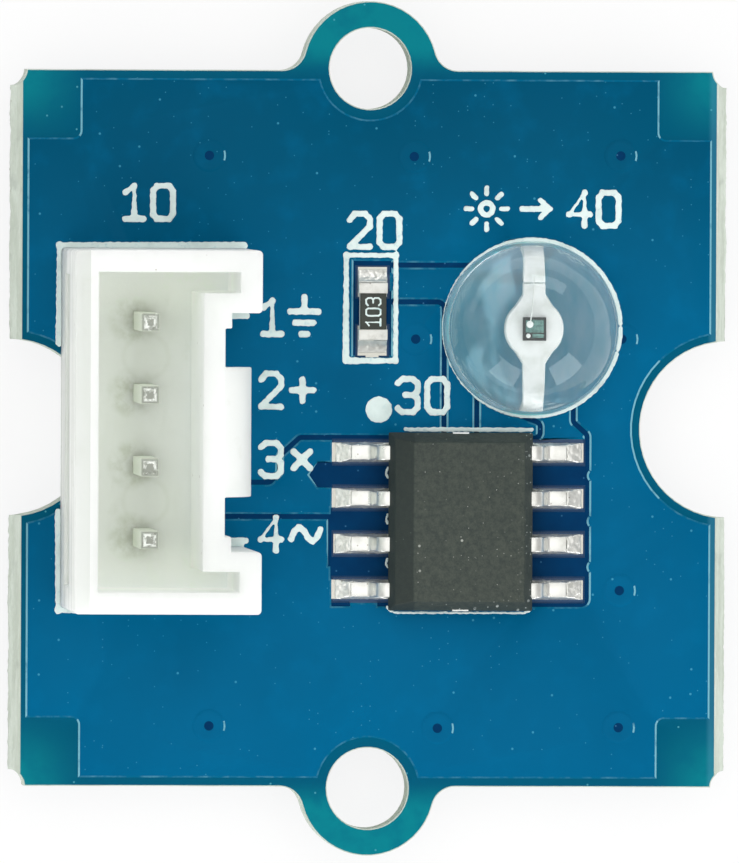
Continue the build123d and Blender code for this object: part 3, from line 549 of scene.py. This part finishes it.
class Growth:
    # A Geometry Nodes tree with named inputs
    def __init__(self, name, inputs):
        self.tree = bpy.data.node_groups.new(name, "GeometryNodeTree")
        self.tree.interface.new_socket("Geometry", in_out="INPUT", socket_type="NodeSocketGeometry")
        self.ids = {}
        for label, (kind, value) in inputs.items():
            made = self.tree.interface.new_socket(label, in_out="INPUT", socket_type="NodeSocket" + kind)
            if value is not None:
                made.default_value = value
            self.ids[label] = made.identifier
        self.tree.interface.new_socket("Geometry", in_out="OUTPUT", socket_type="NodeSocketGeometry")
        self.given = self.tree.nodes.new("NodeGroupInput")
        self.result = self.tree.nodes.new("NodeGroupOutput")

    def node(self, *given):
        return plant(self.tree, *given)

    def dressed(self, made):
        # Every tree ends like this
        real = self.node("GeometryNodeRealizeInstances", None, {0: made})
        sockets = {"Geometry": real, "Material": self.given.outputs["Material"]}
        self.tree.links.new(self.node("GeometryNodeSetMaterial", None, sockets), self.result.inputs[0])
        return self

    def grow(self, thing, values):
        # Runs the tree on a thing and returns the mesh
        modifier = thing.modifiers.new("growth", "NODES")
        modifier.node_group = self.tree
        for label, value in values.items():
            modifier[self.ids[label]] = value
        thing.update_tag()
        bpy.context.view_layer.update()
        return evaluated(thing)


def fused(thing, voxel, softness=0):
    # Voxel-fused bmesh of a thing; worked on a thousand times larger, as a voxel can't be under 0.1 mm
    thing.data.transform(Matrix.Scale(1 / mm, 4))
    fuse = thing.modifiers.new("fuse", "REMESH")
    fuse.mode = "VOXEL"
    fuse.voxel_size = voxel / mm
    if softness:
        soft = thing.modifiers.new("soft", "SMOOTH")
        soft.factor, soft.iterations = 0.5, softness
    bpy.context.view_layer.update()
    data = evaluated(thing)
    data.transform(Matrix.Scale(mm, 4))
    mesh = bmesh.new()
    mesh.from_mesh(data)
    bpy.data.meshes.remove(data)
    mesh.normal_update()
    return mesh


def repeatTree():
    # One part, set at each given point, turned by that point's own angle
    growth = Growth("repeatAtPoints", {"Part": ("Object", None), "Material": ("Material", None)})
    given = growth.given.outputs
    part = growth.node("GeometryNodeObjectInfo", None, {"Object": given["Part"]}, "Geometry")
    turn = growth.node("GeometryNodeInputNamedAttribute", {"data_type": "FLOAT_VECTOR"}, {"Name": "turn"})
    sockets = {"Points": given["Geometry"], "Instance": part, "Rotation": turn}
    return growth.dressed(growth.node("GeometryNodeInstanceOnPoints", None, sockets))


def lathe(profile, x, y, turns):
    # Turns a profile of (radius, height) in mm about a vertical line; both ends lie on the axis
    mesh = bmesh.new()
    rings = []
    for radius, z in profile:
        if radius < 1e-6:
            rings.append([mesh.verts.new((x * mm, y * mm, z * mm))])
        else:
            rings.append([
                mesh.verts.new(((x + radius * math.cos(a)) * mm, (y + radius * math.sin(a)) * mm, z * mm))
                for a in (math.tau * i / turns for i in range(turns))
            ])
    for under, over in zip(rings, rings[1:]):
        for i in range(turns):
            j = (i + 1) % turns
            if len(under) == 1:
                mesh.faces.new((under[0], over[j], over[i]))
            elif len(over) == 1:
                mesh.faces.new((under[i], under[j], over[0]))
            else:
                mesh.faces.new((under[i], under[j], over[j], over[i]))
    bmesh.ops.recalc_face_normals(mesh, faces=mesh.faces)
    return mesh


repeatAtPoints = repeatTree()


def repeated(part, places, turns, look):
    # A mesh of the part at every place; the part itself goes
    mesh = bmesh.new()
    for place in places:
        mesh.verts.new(place)
    cloud = loose(mesh, "places")
    turn = cloud.data.attributes.new("turn", "FLOAT_VECTOR", "POINT")
    for spot, angle in zip(turn.data, turns):
        spot.vector = (0, 0, angle)
    mesh = repeatAtPoints.grow(cloud, {"Part": part, "Material": looks[look]})
    bpy.data.objects.remove(part)
    return mesh


# Laminate

board = {
    "thickness": 1.6 * mm, "scoreStart": 9.69 * mm, "step": 0.09 * mm, "levels": 15,
    "ragged": 0.075 * mm, "grainSize": 0.16 * mm, "notch": 2.2 * mm,
}


def laminatePiece():
    # Snapped sides are cut fine and roughened; routed edges stay clean
    mesh = merged("circuit_board", 0)
    inside = board["scoreStart"]

    def cutSides(place, normal):
        faces = [f for f in mesh.faces if all(abs(v.co.x) > inside - 0.02 * mm for v in f.verts)]
        edges = {e for f in faces for e in f.edges}
        parts = [v for v in {v for f in faces for v in f.verts}] + list(edges) + faces
        bmesh.ops.bisect_plane(mesh, geom=parts, plane_co=place, plane_no=normal, dist=1e-8)

    for i in range(1, board["levels"]):
        cutSides((0, 0, board["thickness"] * i / board["levels"]), (0, 0, 1))
    y = -9.93 * mm
    while y < 9.95 * mm:
        if abs(y) > board["notch"]:
            cutSides((0, y, 0), (0, 1, 0))
        y += board["step"]
    for v in mesh.verts:
        over = (abs(v.co.x) - inside) / (10 * mm - inside)
        if over > 0.02:
            spot = Vector((v.co.x * 0.6, v.co.y, v.co.z)) / board["grainSize"]
            rough = noise.fractal(spot, 0.6, 2.0, 4) * 0.5 + 0.5
            slow = noise.noise(Vector((3.1, v.co.y / (1.1 * mm), v.co.x))) * 0.5 + 0.5
            inward = board["ragged"] * min(1, over * 1.5) * (0.65 * rough + 0.55 * slow)
            v.co.x -= math.copysign(inward, v.co.x)
    return makePiece(mesh, "laminate", ["circuit_board"], ["laminate"], 30)


laminatePiece()
print("laminate shaped")


# Lacquer

lacquer = {
    "high": 0.057 * mm, "low": 0.022 * mm, "near": 0.004 * mm, "shoulder": 0.05 * mm,
    "viaDot": 0.12, "viaRim": 0.37, "rimRise": 0.02, "rimLit": 0.275,
    "vias": (
        (-4.47, 7.57), (1.23, 7.56), (6.98, 7.6), (1.29, 2.49), (7.03, 2.51),
        (6.99, -4.48), (-4.42, -8.27), (1.94, -8.32), (6.98, -8.29),
    ),
}


def slopeEdges(mesh, level, width):
    # Leans the walls back by moving their outer rim inwards
    moves = {}
    for v in mesh.verts:
        if abs(v.co.z - level) > 0.001 * mm:
            continue
        walls = [f.normal.xy.normalized() for f in v.link_faces if abs(f.normal.z) < 0.2]
        if not walls:
            continue
        first = walls[0]
        other = min(walls, key=lambda n: n.dot(first))
        both = first + other
        moves[v] = -both * width / max(0.5, 1 + first.dot(other))
    for v, move in moves.items():
        v.co.xy += move


def lacquerPiece(nodeName, name, side):
    mesh = merged(nodeName, 0)
    mesh.normal_update()
    face = board["thickness"] if side > 0 else 0.0
    high, low = face + side * lacquer["high"], face + side * lacquer["low"]
    slopeEdges(mesh, high, lacquer["shoulder"])
    mesh.normal_update()
    seen = set()

    def liesAt(flat, level):
        return flat.normal.z * side > 0.9 and abs(flat.calc_center_median().z - level) < lacquer["near"]

    for start in mesh.faces:
        if start in seen:
            continue
        if liesAt(start, low):
            # A patch of low lacquer: is it the border, or a channel in the pour?
            patch, queue = [start], [start]
            seen.add(start)
            while queue:
                for e in queue.pop().edges:
                    for f in e.link_faces:
                        if f not in seen and liesAt(f, low):
                            seen.add(f)
                            patch.append(f)
                            queue.append(f)
            border = any(abs(v.co.y) > 9.75 * mm or abs(v.co.x) > 9.55 * mm for f in patch for v in f.verts)
            for f in patch:
                f.material_index = 1 if border else 2
        elif liesAt(start, high):
            start.material_index = 0
        else:
            # Slopes that face left or right get the painted highlight of the glint finish, save round the mounting
            # holes
            spot = start.calc_center_median()
            byHole = abs(spot.x) < 2.3 * mm and abs(spot.y) > 8.2 * mm
            start.material_index = 4 if abs(start.normal.x) > 0.42 and not byHole else 3
    makePiece(mesh, name, [nodeName], ["pour", "bare", "channel", "shoulder", "glint"], 20)


def viaMarks(side, name):
    # Lacquer sags into each via: a dark dot inside a low swollen rim
    level = 1.657 if side > 0 else -0.057
    dot, rim, rise = lacquer["viaDot"], lacquer["viaRim"], lacquer["rimRise"]
    swell = [
        (0, 0.002), (dot, 0.002), (dot + 0.04, rise * 0.6), (rim - 0.05, rise * 0.75),
        (rim, rise), (rim + 0.04, rise * 0.8), (rim + 0.09, 0.001), (0, 0.001),
    ]
    sag = [(0, 0.003), (dot * 0.8, 0.004), (dot + 0.012, 0.006), (dot + 0.012, 0.001), (0, 0.001)]
    places = [(x * mm, y * mm, 0) for x, y in lacquer["vias"]]
    for profile, label, look in ((swell, "rims", "pour"), (sag, "dots", "channel")):
        part = loose(lathe([(radius, level + side * height) for radius, height in profile], 0, 0, 40), "viaPart")
        mesh = repeated(part, places, [0] * len(places), look)
        mesh.materials.clear()
        # The rim's right-hand slope gets the painted highlight of the glint finish
        for face in mesh.polygons:
            face.material_index = int(label == "rims" and face.normal.x > lacquer["rimLit"])
        makePiece(mesh, f"{name}_{label}", [], [look, "glint"] if label == "rims" else [look], 60)


for side, label in ((1, "top"), (-1, "bottom")):
    lacquerPiece(f"solder_mask_{label}", f"lacquer_{label}", side)
for side, label in ((1, "top"), (-1, "bottom")):
    viaMarks(side, f"via_marks_{label}")
print("lacquer laid")


# Print

printing = {
    "level": 1.657 * mm, "thickness": 0.02 * mm, "ragged": 0.02 * mm, "voxel": 0.032 * mm,
    "line": 0.2, "letter": 0.19, "height": 0.92, "advance": 0.82,    # the strokes' own sizes are in mm
}
digits = {
    "0": [[(0.12, 0), (0, 0.15), (0, 0.85), (0.12, 1), (0.48, 1), (0.6, 0.85), (0.6, 0.15), (0.48, 0), (0.12, 0)]],
    "1": [[(0.06, 0.8), (0.32, 1), (0.32, 0)], [(0.05, 0), (0.6, 0)]],
    "2": [[(0, 0.82), (0.14, 1), (0.46, 1), (0.6, 0.84), (0.6, 0.62), (0, 0.02), (0, 0), (0.6, 0)]],
    "3": [[(0, 0.88), (0.14, 1), (0.46, 1), (0.6, 0.86), (0.6, 0.64), (0.46, 0.52), (0.22, 0.52)],
          [(0.46, 0.52), (0.6, 0.4), (0.6, 0.14), (0.46, 0), (0.14, 0), (0, 0.12)]],
    "4": [[(0.46, 0), (0.46, 1), (0, 0.34), (0.62, 0.34)]],
    "ground": [[(0.37, 1.12), (0.37, 0.7)], [(-0.06, 0.68), (0.8, 0.68)],
               [(0.1, 0.34), (0.64, 0.34)], [(0.28, 0.0), (0.46, 0.0)]],
    "plus": [[(0, 0.5), (0.64, 0.5)], [(0.32, 0.18), (0.32, 0.82)]],
    "cross": [[(0.06, 0.25), (0.56, 0.75)], [(0.06, 0.75), (0.56, 0.25)]],
    "wave": [[(0.0, 0.36), (0.1, 0.6), (0.24, 0.72), (0.38, 0.6),
              (0.5, 0.4), (0.64, 0.28), (0.78, 0.4), (0.88, 0.64)]],
}


def glyph(name, x, y):
    size = printing["height"]
    return [([(x + px * size, y + py * size) for px, py in stroke], printing["letter"]) for stroke in digits[name]]


def onCircle(x, y, radius, angle):
    return (x + radius * math.cos(angle), y + radius * math.sin(angle))


def ring(x, y, radius, width, turns):
    return [([onCircle(x, y, radius, i * math.tau / turns) for i in range(turns + 1)], width)]


def sunSign(x, y):
    # A plain sun and an arrow, for light falling on the sensor
    strokes = ring(x, y, 0.17, 0.16, 16)
    for i in range(8):
        strokes.append(([onCircle(x, y, reach, i * math.tau / 8) for reach in (0.42, 0.58)], 0.15))
    strokes.append(([(x + 0.98, y), (x + 1.75, y)], 0.17))
    strokes.append(([(x + 1.5, y + 0.24), (x + 1.77, y), (x + 1.5, y - 0.24)], 0.16))
    return strokes + glyph("4", x + 2.3, y - 0.46) + glyph("0", x + 3.12, y - 0.46)


def boardStrokes():
    # Everything printed on the board: (points in mm, line width in mm)
    line, advance = printing["line"], printing["advance"]
    strokes = []
    for y, digit, sign in ((2.62, "1", "ground"), (0.6, "2", "plus"), (-1.33, "3", "cross"), (-3.4, "4", "wave")):
        strokes += glyph(digit, -3.0, y) + glyph(sign, -2.15, y)
    for text, x, y in (("10", -6.85, 5.8), ("20", -0.55, 5.05), ("30", 0.8, 0.46)):
        for i, digit in enumerate(text):
            strokes += glyph(digit, x + i * advance, y)
    strokes += sunSign(3.25, 6.12)
    left, low, right, top = -0.65, 1.885, 0.73, 4.815    # round the resistor
    strokes += [([(left, low), (right, low), (right, top), (left, top), (left, low)], line)]
    strokes += ring(4.54, 2.81, 2.45, 0.14, 72)    # round the sensor
    strokes += [([(0.27, 0.53), (0.271, 0.53)], 0.74)]    # pin one dot
    # Above, below and left of the amplifier
    strokes += [([(1.02, -0.02), (4.52, -0.02)], 0.13)]
    strokes += [([(0.52, -4.95), (0.62, -5.07), (0.8, -5.11), (4.3, -5.11), (4.5, -5.05)], 0.075)]
    for row in (-1.22, -2.51, -3.73):
        strokes += [([(0.53, row + 0.13), (0.49, row), (0.53, row - 0.13)], 0.08)]
    # Round the connector, broken by the notch in the board's edge
    for side in (1, -1):
        strokes += [([(-3.5, side * 5.07), (-8.62, side * 5.07), (-8.62, side * 2.36)], line * 1.1)]
        strokes += [([(-3.95, side * 3.12), (-3.42, side * 3.12)], line * 0.9)]
    strokes += [([(-3.9, -3.22), (-3.62, -3.3)], line * 1.6)]
    return strokes


def strokeTree():
    # Strokes swept along their lines with round ends, ready to be fused
    growth = Growth("sweptStrokes", {"Sides": ("Int", 10), "Ends": ("Int", 3), "Material": ("Material", None)})
    given = growth.given.outputs
    width = growth.node("GeometryNodeInputNamedAttribute", {"data_type": "FLOAT"}, {"Name": "width"})
    curve = growth.node("GeometryNodeMeshToCurve", None, {0: given["Geometry"]})
    profile = growth.node("GeometryNodeCurvePrimitiveCircle", None, {"Resolution": given["Sides"], "Radius": 0.5})
    sockets = {"Curve": curve, "Profile Curve": profile, "Scale": width, "Fill Caps": True}
    swept = growth.node("GeometryNodeCurveToMesh", None, sockets)
    ball = growth.node("GeometryNodeMeshIcoSphere", None, {"Radius": 0.5, "Subdivisions": given["Ends"]})
    sockets = {"Points": given["Geometry"], "Instance": ball, "Scale": width}
    balls = growth.node("GeometryNodeInstanceOnPoints", None, sockets)
    joined = growth.node("GeometryNodeJoinGeometry", None, {0: swept})
    growth.tree.links.new(balls, joined.node.inputs[0])
    return growth.dressed(joined)


sweptStrokes = strokeTree()


def inkMesh(strokes, level, thickness, voxel, ragged):
    # Fuses the strokes, presses them flat on their surface and roughens their rim
    mesh = bmesh.new()
    widths = []
    for points, width in strokes:
        last = None
        for x, y in points:
            v = mesh.verts.new((x * mm, y * mm, 0))
            widths.append(width * mm)
            if last:
                mesh.edges.new((last, v))
            last = v
    lines = loose(mesh, "strokeLines")
    attribute = lines.data.attributes.new("width", "FLOAT", "POINT")
    attribute.data.foreach_set("value", widths)
    swept = bpy.data.objects.new("strokeTubes", sweptStrokes.grow(lines, {"Material": looks["ink"]}))
    bpy.context.scene.collection.objects.link(swept)
    mesh = fused(swept, voxel)
    for v in mesh.verts:
        spot = Vector((v.co.x, v.co.y, 0)) / (0.11 * mm)
        v.co.x += noise.noise(spot) * ragged
        v.co.y += noise.noise(spot + Vector((17, 5, 3))) * ragged
        rise = min(1.0, max(v.co.z, 0) / (0.07 * mm))
        v.co.z = level + thickness * (rise * (2 - rise)) if v.co.z > 0 else level - 0.002 * mm
    return mesh


makePiece(
    inkMesh(boardStrokes(), printing["level"], printing["thickness"], printing["voxel"], printing["ragged"]),
    "print_top", ["silkscreen_top"], ["ink"], 60,
)
print("print laid")


# Connector

connector = {"edge": 0.035 * mm, "pinEdge": 0.02 * mm, "pins": [(-6.4 * mm, y * mm, 0) for y in (3, 1, -1, -3)]}
plainCopy("connector_housing", "connector_shroud", "nylon", connector["edge"])
pinMesh = merged("connector_pin_1")
easeEdges(pinMesh, connector["pinEdge"], 2)
bmesh.ops.translate(pinMesh, verts=pinMesh.verts, vec=-Vector(connector["pins"][0]))
makePiece(
    repeated(loose(pinMesh, "pinPart"), connector["pins"], [0] * 4, "pins"),
    "connector_pins", [f"connector_pin_{i}" for i in range(1, 5)], ["pins"],
)
print("connector made")


# Solder joints

joints = {    # voxel, height of the lumps, size of the lumps
    "connector": (0.045 * mm, 0.02 * mm, 0.3 * mm), "sensor": (0.04 * mm, 0.015 * mm, 0.25 * mm),
    "amplifier": (0.028 * mm, 0.022 * mm, 0.2 * mm), "resistor": (0.024 * mm, 0.012 * mm, 0.15 * mm),
}
slimJoints = {"share": 0.88, "rows": [(-2.56 + (3 - 2 * i) * 0.635) * mm for i in range(4)]}    # the amplifier's


def wettedJoint(owner, voxel, lumps, grainSize):
    # Solder: the CAD joint fused, softened and drawn into an uneven skin
    mesh = fused(loose(merged(f"{owner}_solder", 0), "jointPart"), voxel, 4)
    for v in mesh.verts if owner == "amplifier" else ():
        row = min(slimJoints["rows"], key=lambda y: abs(v.co.y - y))
        v.co.y = row + (v.co.y - row) * slimJoints["share"]
    for v in mesh.verts:
        v.co += v.normal * noise.fractal(v.co / grainSize, 0.8, 2.0, 3) * lumps
    makePiece(mesh, f"{owner}_joints", [f"{owner}_solder"], ["solder"], 80)


for owner, sizes in joints.items():
    wettedJoint(owner, *sizes)
print("joints made")


# Resistor

resistor = {
    "x": 0.08, "y": 3.26, "edge": 0.018 * mm, "coatEdge": 0.008 * mm, "capEdge": 0.012 * mm,
    "codeHeight": 0.4, "codeWidth": 0.34, "codeAdvance": 0.29, "codeLine": 0.055,
}
plainCopy("resistor_substrate", "resistor_chip", "alumina", resistor["edge"])
plainCopy("resistor_film", "resistor_film_layer", "glaze", 0)
plainCopy("resistor_coat", "resistor_glaze", "glaze", resistor["coatEdge"])
for number in (1, 2):
    plainCopy(f"resistor_terminal_{number}", f"resistor_cap_{number}", "cap", resistor["capEdge"])


def resistorCode():
    # A plain round value, read from the right
    r = resistor
    strokes = []
    for i, digit in enumerate("103"):
        start = r["y"] - 0.41 + i * r["codeAdvance"]
        for stroke in digits[digit]:
            points = [(r["x"] + 0.2 - py * r["codeHeight"], start + px * r["codeWidth"]) for px, py in stroke]
            strokes.append((points, r["codeLine"]))
    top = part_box("resistor_coat")[1].z
    return inkMesh(strokes, top, 0.006 * mm, 0.012 * mm, 0.006 * mm)


makePiece(resistorCode(), "resistor_code", [], ["ink"], 60)


# Amplifier

amplifier = {
    "x": 2.5, "y": -2.56, "width": 4.02, "length": 4.96, "draft": 20, "bevelWide": 0.42, "bevelDeep": 0.3,
    "edge": 0.035 * mm, "leadEdge": 0.022 * mm, "pitch": 1.27,
}


def amplifierBody():
    # Drafted both ways from the parting line, with the pin one bevel
    a = amplifier
    low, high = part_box("amplifier_body")
    parting = (low.z + high.z) / 2
    lean = math.tan(math.radians(a["draft"])) * (high.z - parting)
    mesh = bmesh.new()
    deep = a["bevelDeep"] * mm
    leanHere = lean * (1 - deep / (high.z - parting))
    rings = []
    for z, inset, leftInset in (
        (low.z, lean, lean), (parting, 0, 0), (high.z - deep, leanHere, leanHere),
        (high.z, lean, lean + a["bevelWide"] * mm),
    ):
        left, right = (a["x"] - a["width"] / 2) * mm + leftInset, (a["x"] + a["width"] / 2) * mm - inset
        bottom, top = (a["y"] - a["length"] / 2) * mm + inset, (a["y"] + a["length"] / 2) * mm - inset
        corners = ((left, bottom), (right, bottom), (right, top), (left, top))
        rings.append([mesh.verts.new((x, y, z)) for x, y in corners])
    mesh.faces.new(rings[0][::-1])
    mesh.faces.new(rings[-1])
    for under, over in zip(rings, rings[1:]):
        for i in range(4):
            j = (i + 1) % 4
            mesh.faces.new((under[i], under[j], over[j], over[i]))
    bmesh.ops.recalc_face_normals(mesh, faces=mesh.faces)
    easeEdges(mesh, a["edge"], 3, 12)
    makePiece(mesh, "amplifier_case", ["amplifier_body"], ["epoxy"], 30)


amplifierBody()
leadMesh = merged("amplifier_lead_1")
easeEdges(leadMesh, amplifier["leadEdge"], 2, 40)
leadRows = [amplifier["y"] + (3 - 2 * i) * amplifier["pitch"] / 2 for i in range(4)]
bmesh.ops.translate(leadMesh, verts=leadMesh.verts, vec=Vector((-amplifier["x"], -leadRows[0], 0)) * mm)
leadSpots = [(amplifier["x"] * mm, row * mm, 0) for row in leadRows + leadRows[::-1]]
makePiece(
    repeated(loose(leadMesh, "leadPart"), leadSpots, [0] * 4 + [math.pi] * 4, "plate"),
    "amplifier_leads", [f"amplifier_lead_{i}" for i in range(1, 9)], ["plate"], 40,
)
plainCopy("amplifier_paddle", "amplifier_tie_bars", "silver", 0)
print("amplifier made")


# Sensor

sensor = {
    "x": 4.45, "y": 2.81, "radius": 2.42, "dome": 2.31, "seat": 0.12, "ledge": 1.0, "barrel": 1.6, "height": 3.35,
    "rimEase": 0.06, "turns": 128, "rings": 40, "stripEdge": 0.02 * mm, "dieEdge": 0.006 * mm, "dieSize": 0.52,
}


def lensPiece():
    s = sensor
    base = printing["level"] / mm
    ledge, shoulder, apex = base + s["ledge"], base + s["barrel"], base + s["height"]
    ease = s["rimEase"]
    profile = [(0, base + s["seat"]), (s["radius"] - 0.05, base + s["seat"]), (s["radius"], base + s["seat"] + 0.05)]
    profile += [
        (s["radius"] - ease + ease * math.cos(a), ledge - ease + ease * math.sin(a))
        for a in (math.pi / 2 * i / 5 for i in range(6))
    ]
    profile.append((s["dome"], ledge))
    sphere = (s["dome"] ** 2 + (apex - shoulder) ** 2) / (2 * (apex - shoulder))
    start = math.asin(s["dome"] / sphere)
    profile += [
        (sphere * math.sin(a), apex - sphere + sphere * math.cos(a))
        for a in (start * (1 - i / s["rings"]) for i in range(s["rings"]))
    ]
    profile.append((0, apex))
    mesh = lathe(profile, s["x"], s["y"], s["turns"])
    for f in mesh.faces:
        if f.calc_center_median().z < (base + s["seat"] + 0.01) * mm:
            f.material_index = 1
    makePiece(mesh, "sensor_dome", ["sensor_lens"], ["resin", "frosted"], 40)


lensPiece()
for number in (1, 2):
    plainCopy(f"sensor_lead_{number}", f"sensor_strip_{number}", "silver", sensor["stripEdge"], 2, 40)
plainCopy("sensor_bond_wire", "sensor_gold_wire", "wire", 0)
plainCopy("sensor_die", "sensor_chip", "dieFrame", sensor["dieEdge"])


def dieFace():
    # Raised window, bond pad and ball of the die, on its top face
    s = sensor
    mesh = bmesh.new()
    half = s["dieSize"] / 2 * mm
    slabs = ((-0.78, -0.3, 0.78, 0.78, 0.006 * mm), (-0.2, -0.75, 0.78, -0.42, 0.005 * mm))
    for left, bottom, right, top, rise in slabs:
        made = bmesh.ops.create_cube(mesh, size=1.0)["verts"]
        bmesh.ops.scale(mesh, verts=made, vec=((right - left) * half, (top - bottom) * half, rise))
        bmesh.ops.translate(mesh, verts=made, vec=((left + right) / 2 * half, (bottom + top) / 2 * half, rise / 2))
    for x, y, radius in ((-0.42, 0.4, 0.34), (-0.55, -0.6, 0.2)):
        rise, radius = 0.012 * mm, radius * half
        made = bmesh.ops.create_cone(
            mesh, cap_ends=True, segments=20, radius1=radius, radius2=radius * 0.8, depth=rise,
        )["verts"]
        bmesh.ops.translate(mesh, verts=made, vec=(x * half, y * half, rise / 2))
        for f in {f for v in made for f in v.link_faces}:
            f.material_index = 1
    bmesh.ops.translate(mesh, verts=mesh.verts, vec=(s["x"] * mm, s["y"] * mm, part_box("sensor_die")[1].z))
    makePiece(mesh, "sensor_chip_pattern", [], ["die", "silver"], 40)


dieFace()
print("sensor made")

# Nodes that keep their CAD mesh and get a finish here
for nodeName, look, slot in (
    ("copper_top", "copper", "copper"), ("copper_bottom", "copper", "copper"),
    ("via_barrels", "copper", "copper"), ("hole_barrels", "solder", "solder"),
    ("amplifier_die", "dieFrame", "silicon"), ("amplifier_bond_wires", "gold", "gold"),
):
    shown = nodes[nodeName]
    shown.data.materials.clear()
    shown.data.materials.append(looks[look])


# Floor, lamps, camera

studio = {
    "floorLevel": -1.33 * mm, "floorSize": 0.6, "floorGlow": 0.82,
    "sky": 0.22, "overhead": 2.28, "mirrored": 0.32, "mirroredTop": 1.2,
    "lamps": {    # place, size, power
        "leftBox": ((-0.17, -0.25, 0.08), (0.2, 0.2), 0.36),
        "rightBox": ((0.2, -0.24, 0.1), (0.18, 0.2), 0.36),
        "backBox": ((0.1, 0.28, 0.12), (0.22, 0.1), 0.144),
    },
    "view": (-0.0616, 0.0156, 1.0), "aim": (0.019 * mm, -0.081 * mm, 1.6 * mm), "roll": -0.0043,
    "distance": 0.7, "pixelsHigh": 863, "pixelsPerMm": 36.0,
}


def floorLook():
    # Pale floor; the camera, glass and metal see it nearly white, and it keeps the shadow
    f = Finish("paleFloor")
    plain = f.node("ShaderNodeBsdfDiffuse", None, {"Color": (0.9, 0.9, 0.9, 1)})
    glow = f.node("ShaderNodeEmission", None, {"Color": (1, 1, 1, 1), "Strength": 1.0})
    camera = f.node("ShaderNodeLightPath", out="Is Camera Ray")
    glossy = f.node("ShaderNodeLightPath", out="Is Glossy Ray")
    through = f.node("ShaderNodeLightPath", out="Is Transmission Ray")
    seen = camera.larger(glossy).larger(through)
    return f.done(f.node("ShaderNodeMixShader", None, {0: seen * studio["floorGlow"], 1: plain, 2: glow}))


floorMesh = bmesh.new()
bmesh.ops.create_grid(floorMesh, x_segments=1, y_segments=1, size=studio["floorSize"])
bmesh.ops.translate(floorMesh, verts=floorMesh.verts, vec=(0, 0, studio["floorLevel"]))
floor = loose(floorMesh, "floor")
floor.data.materials.append(floorLook())


def studioWorld():
    # The camera sees white; the object is lit from overhead, and gloss sees a dimmer room
    f = Finish("studio", world=True)

    def glow(low, high, start, end):
        strength = f.z.ease(start, end) * (high - low) + low
        return f.node("ShaderNodeBackground", None, {"Color": (1, 1, 1, 1), "Strength": strength})

    sky = glow(studio["sky"], studio["overhead"], 0.6, 0.99)
    room = glow(studio["mirrored"], studio["mirroredTop"], 0.75, 0.97)
    white = f.node("ShaderNodeBackground", None, {"Color": (0.8, 0.8, 0.8, 1), "Strength": 1.0})
    glossy = f.node("ShaderNodeLightPath", out="Is Glossy Ray")
    camera = f.node("ShaderNodeLightPath", out="Is Camera Ray")
    lit = f.node("ShaderNodeMixShader", None, {0: glossy, 1: sky, 2: room})
    return f.done(f.node("ShaderNodeMixShader", None, {0: camera, 1: lit, 2: white}))


bpy.context.scene.world = studioWorld()
for name, (place, size, power) in studio["lamps"].items():
    lamp = bpy.data.lights.new(name, "AREA")
    lamp.shape = "RECTANGLE"
    lamp.size, lamp.size_y = size
    lamp.energy = power
    box = bpy.data.objects.new(name, lamp)
    box.location = place
    box.rotation_euler = (-Vector(place)).to_track_quat("-Z", "Y").to_euler()
    bpy.context.scene.collection.objects.link(box)

scene = bpy.context.scene
scene.view_settings.view_transform = "Standard"
cameraData = bpy.data.cameras.new("camera")
cameraData.sensor_fit = "VERTICAL"
cameraData.sensor_height = 24.0
aim = Vector(studio["aim"])
away = Vector(studio["view"]) * studio["distance"]
fieldHeight = studio["pixelsHigh"] / studio["pixelsPerMm"] * mm
cameraData.lens = cameraData.sensor_height * away.length / fieldHeight
cameraData.clip_start, cameraData.clip_end = 0.01, 10
camera = bpy.data.objects.new("camera", cameraData)
forward = -away.normalized()
right = forward.cross(Vector((studio["roll"], 1, 0))).normalized()
up = right.cross(forward)
camera.matrix_world = Matrix.Translation(aim + away) @ Matrix((right, up, -forward)).transposed().to_4x4()
scene.collection.objects.link(camera)
scene.camera = camera
print("studio set")
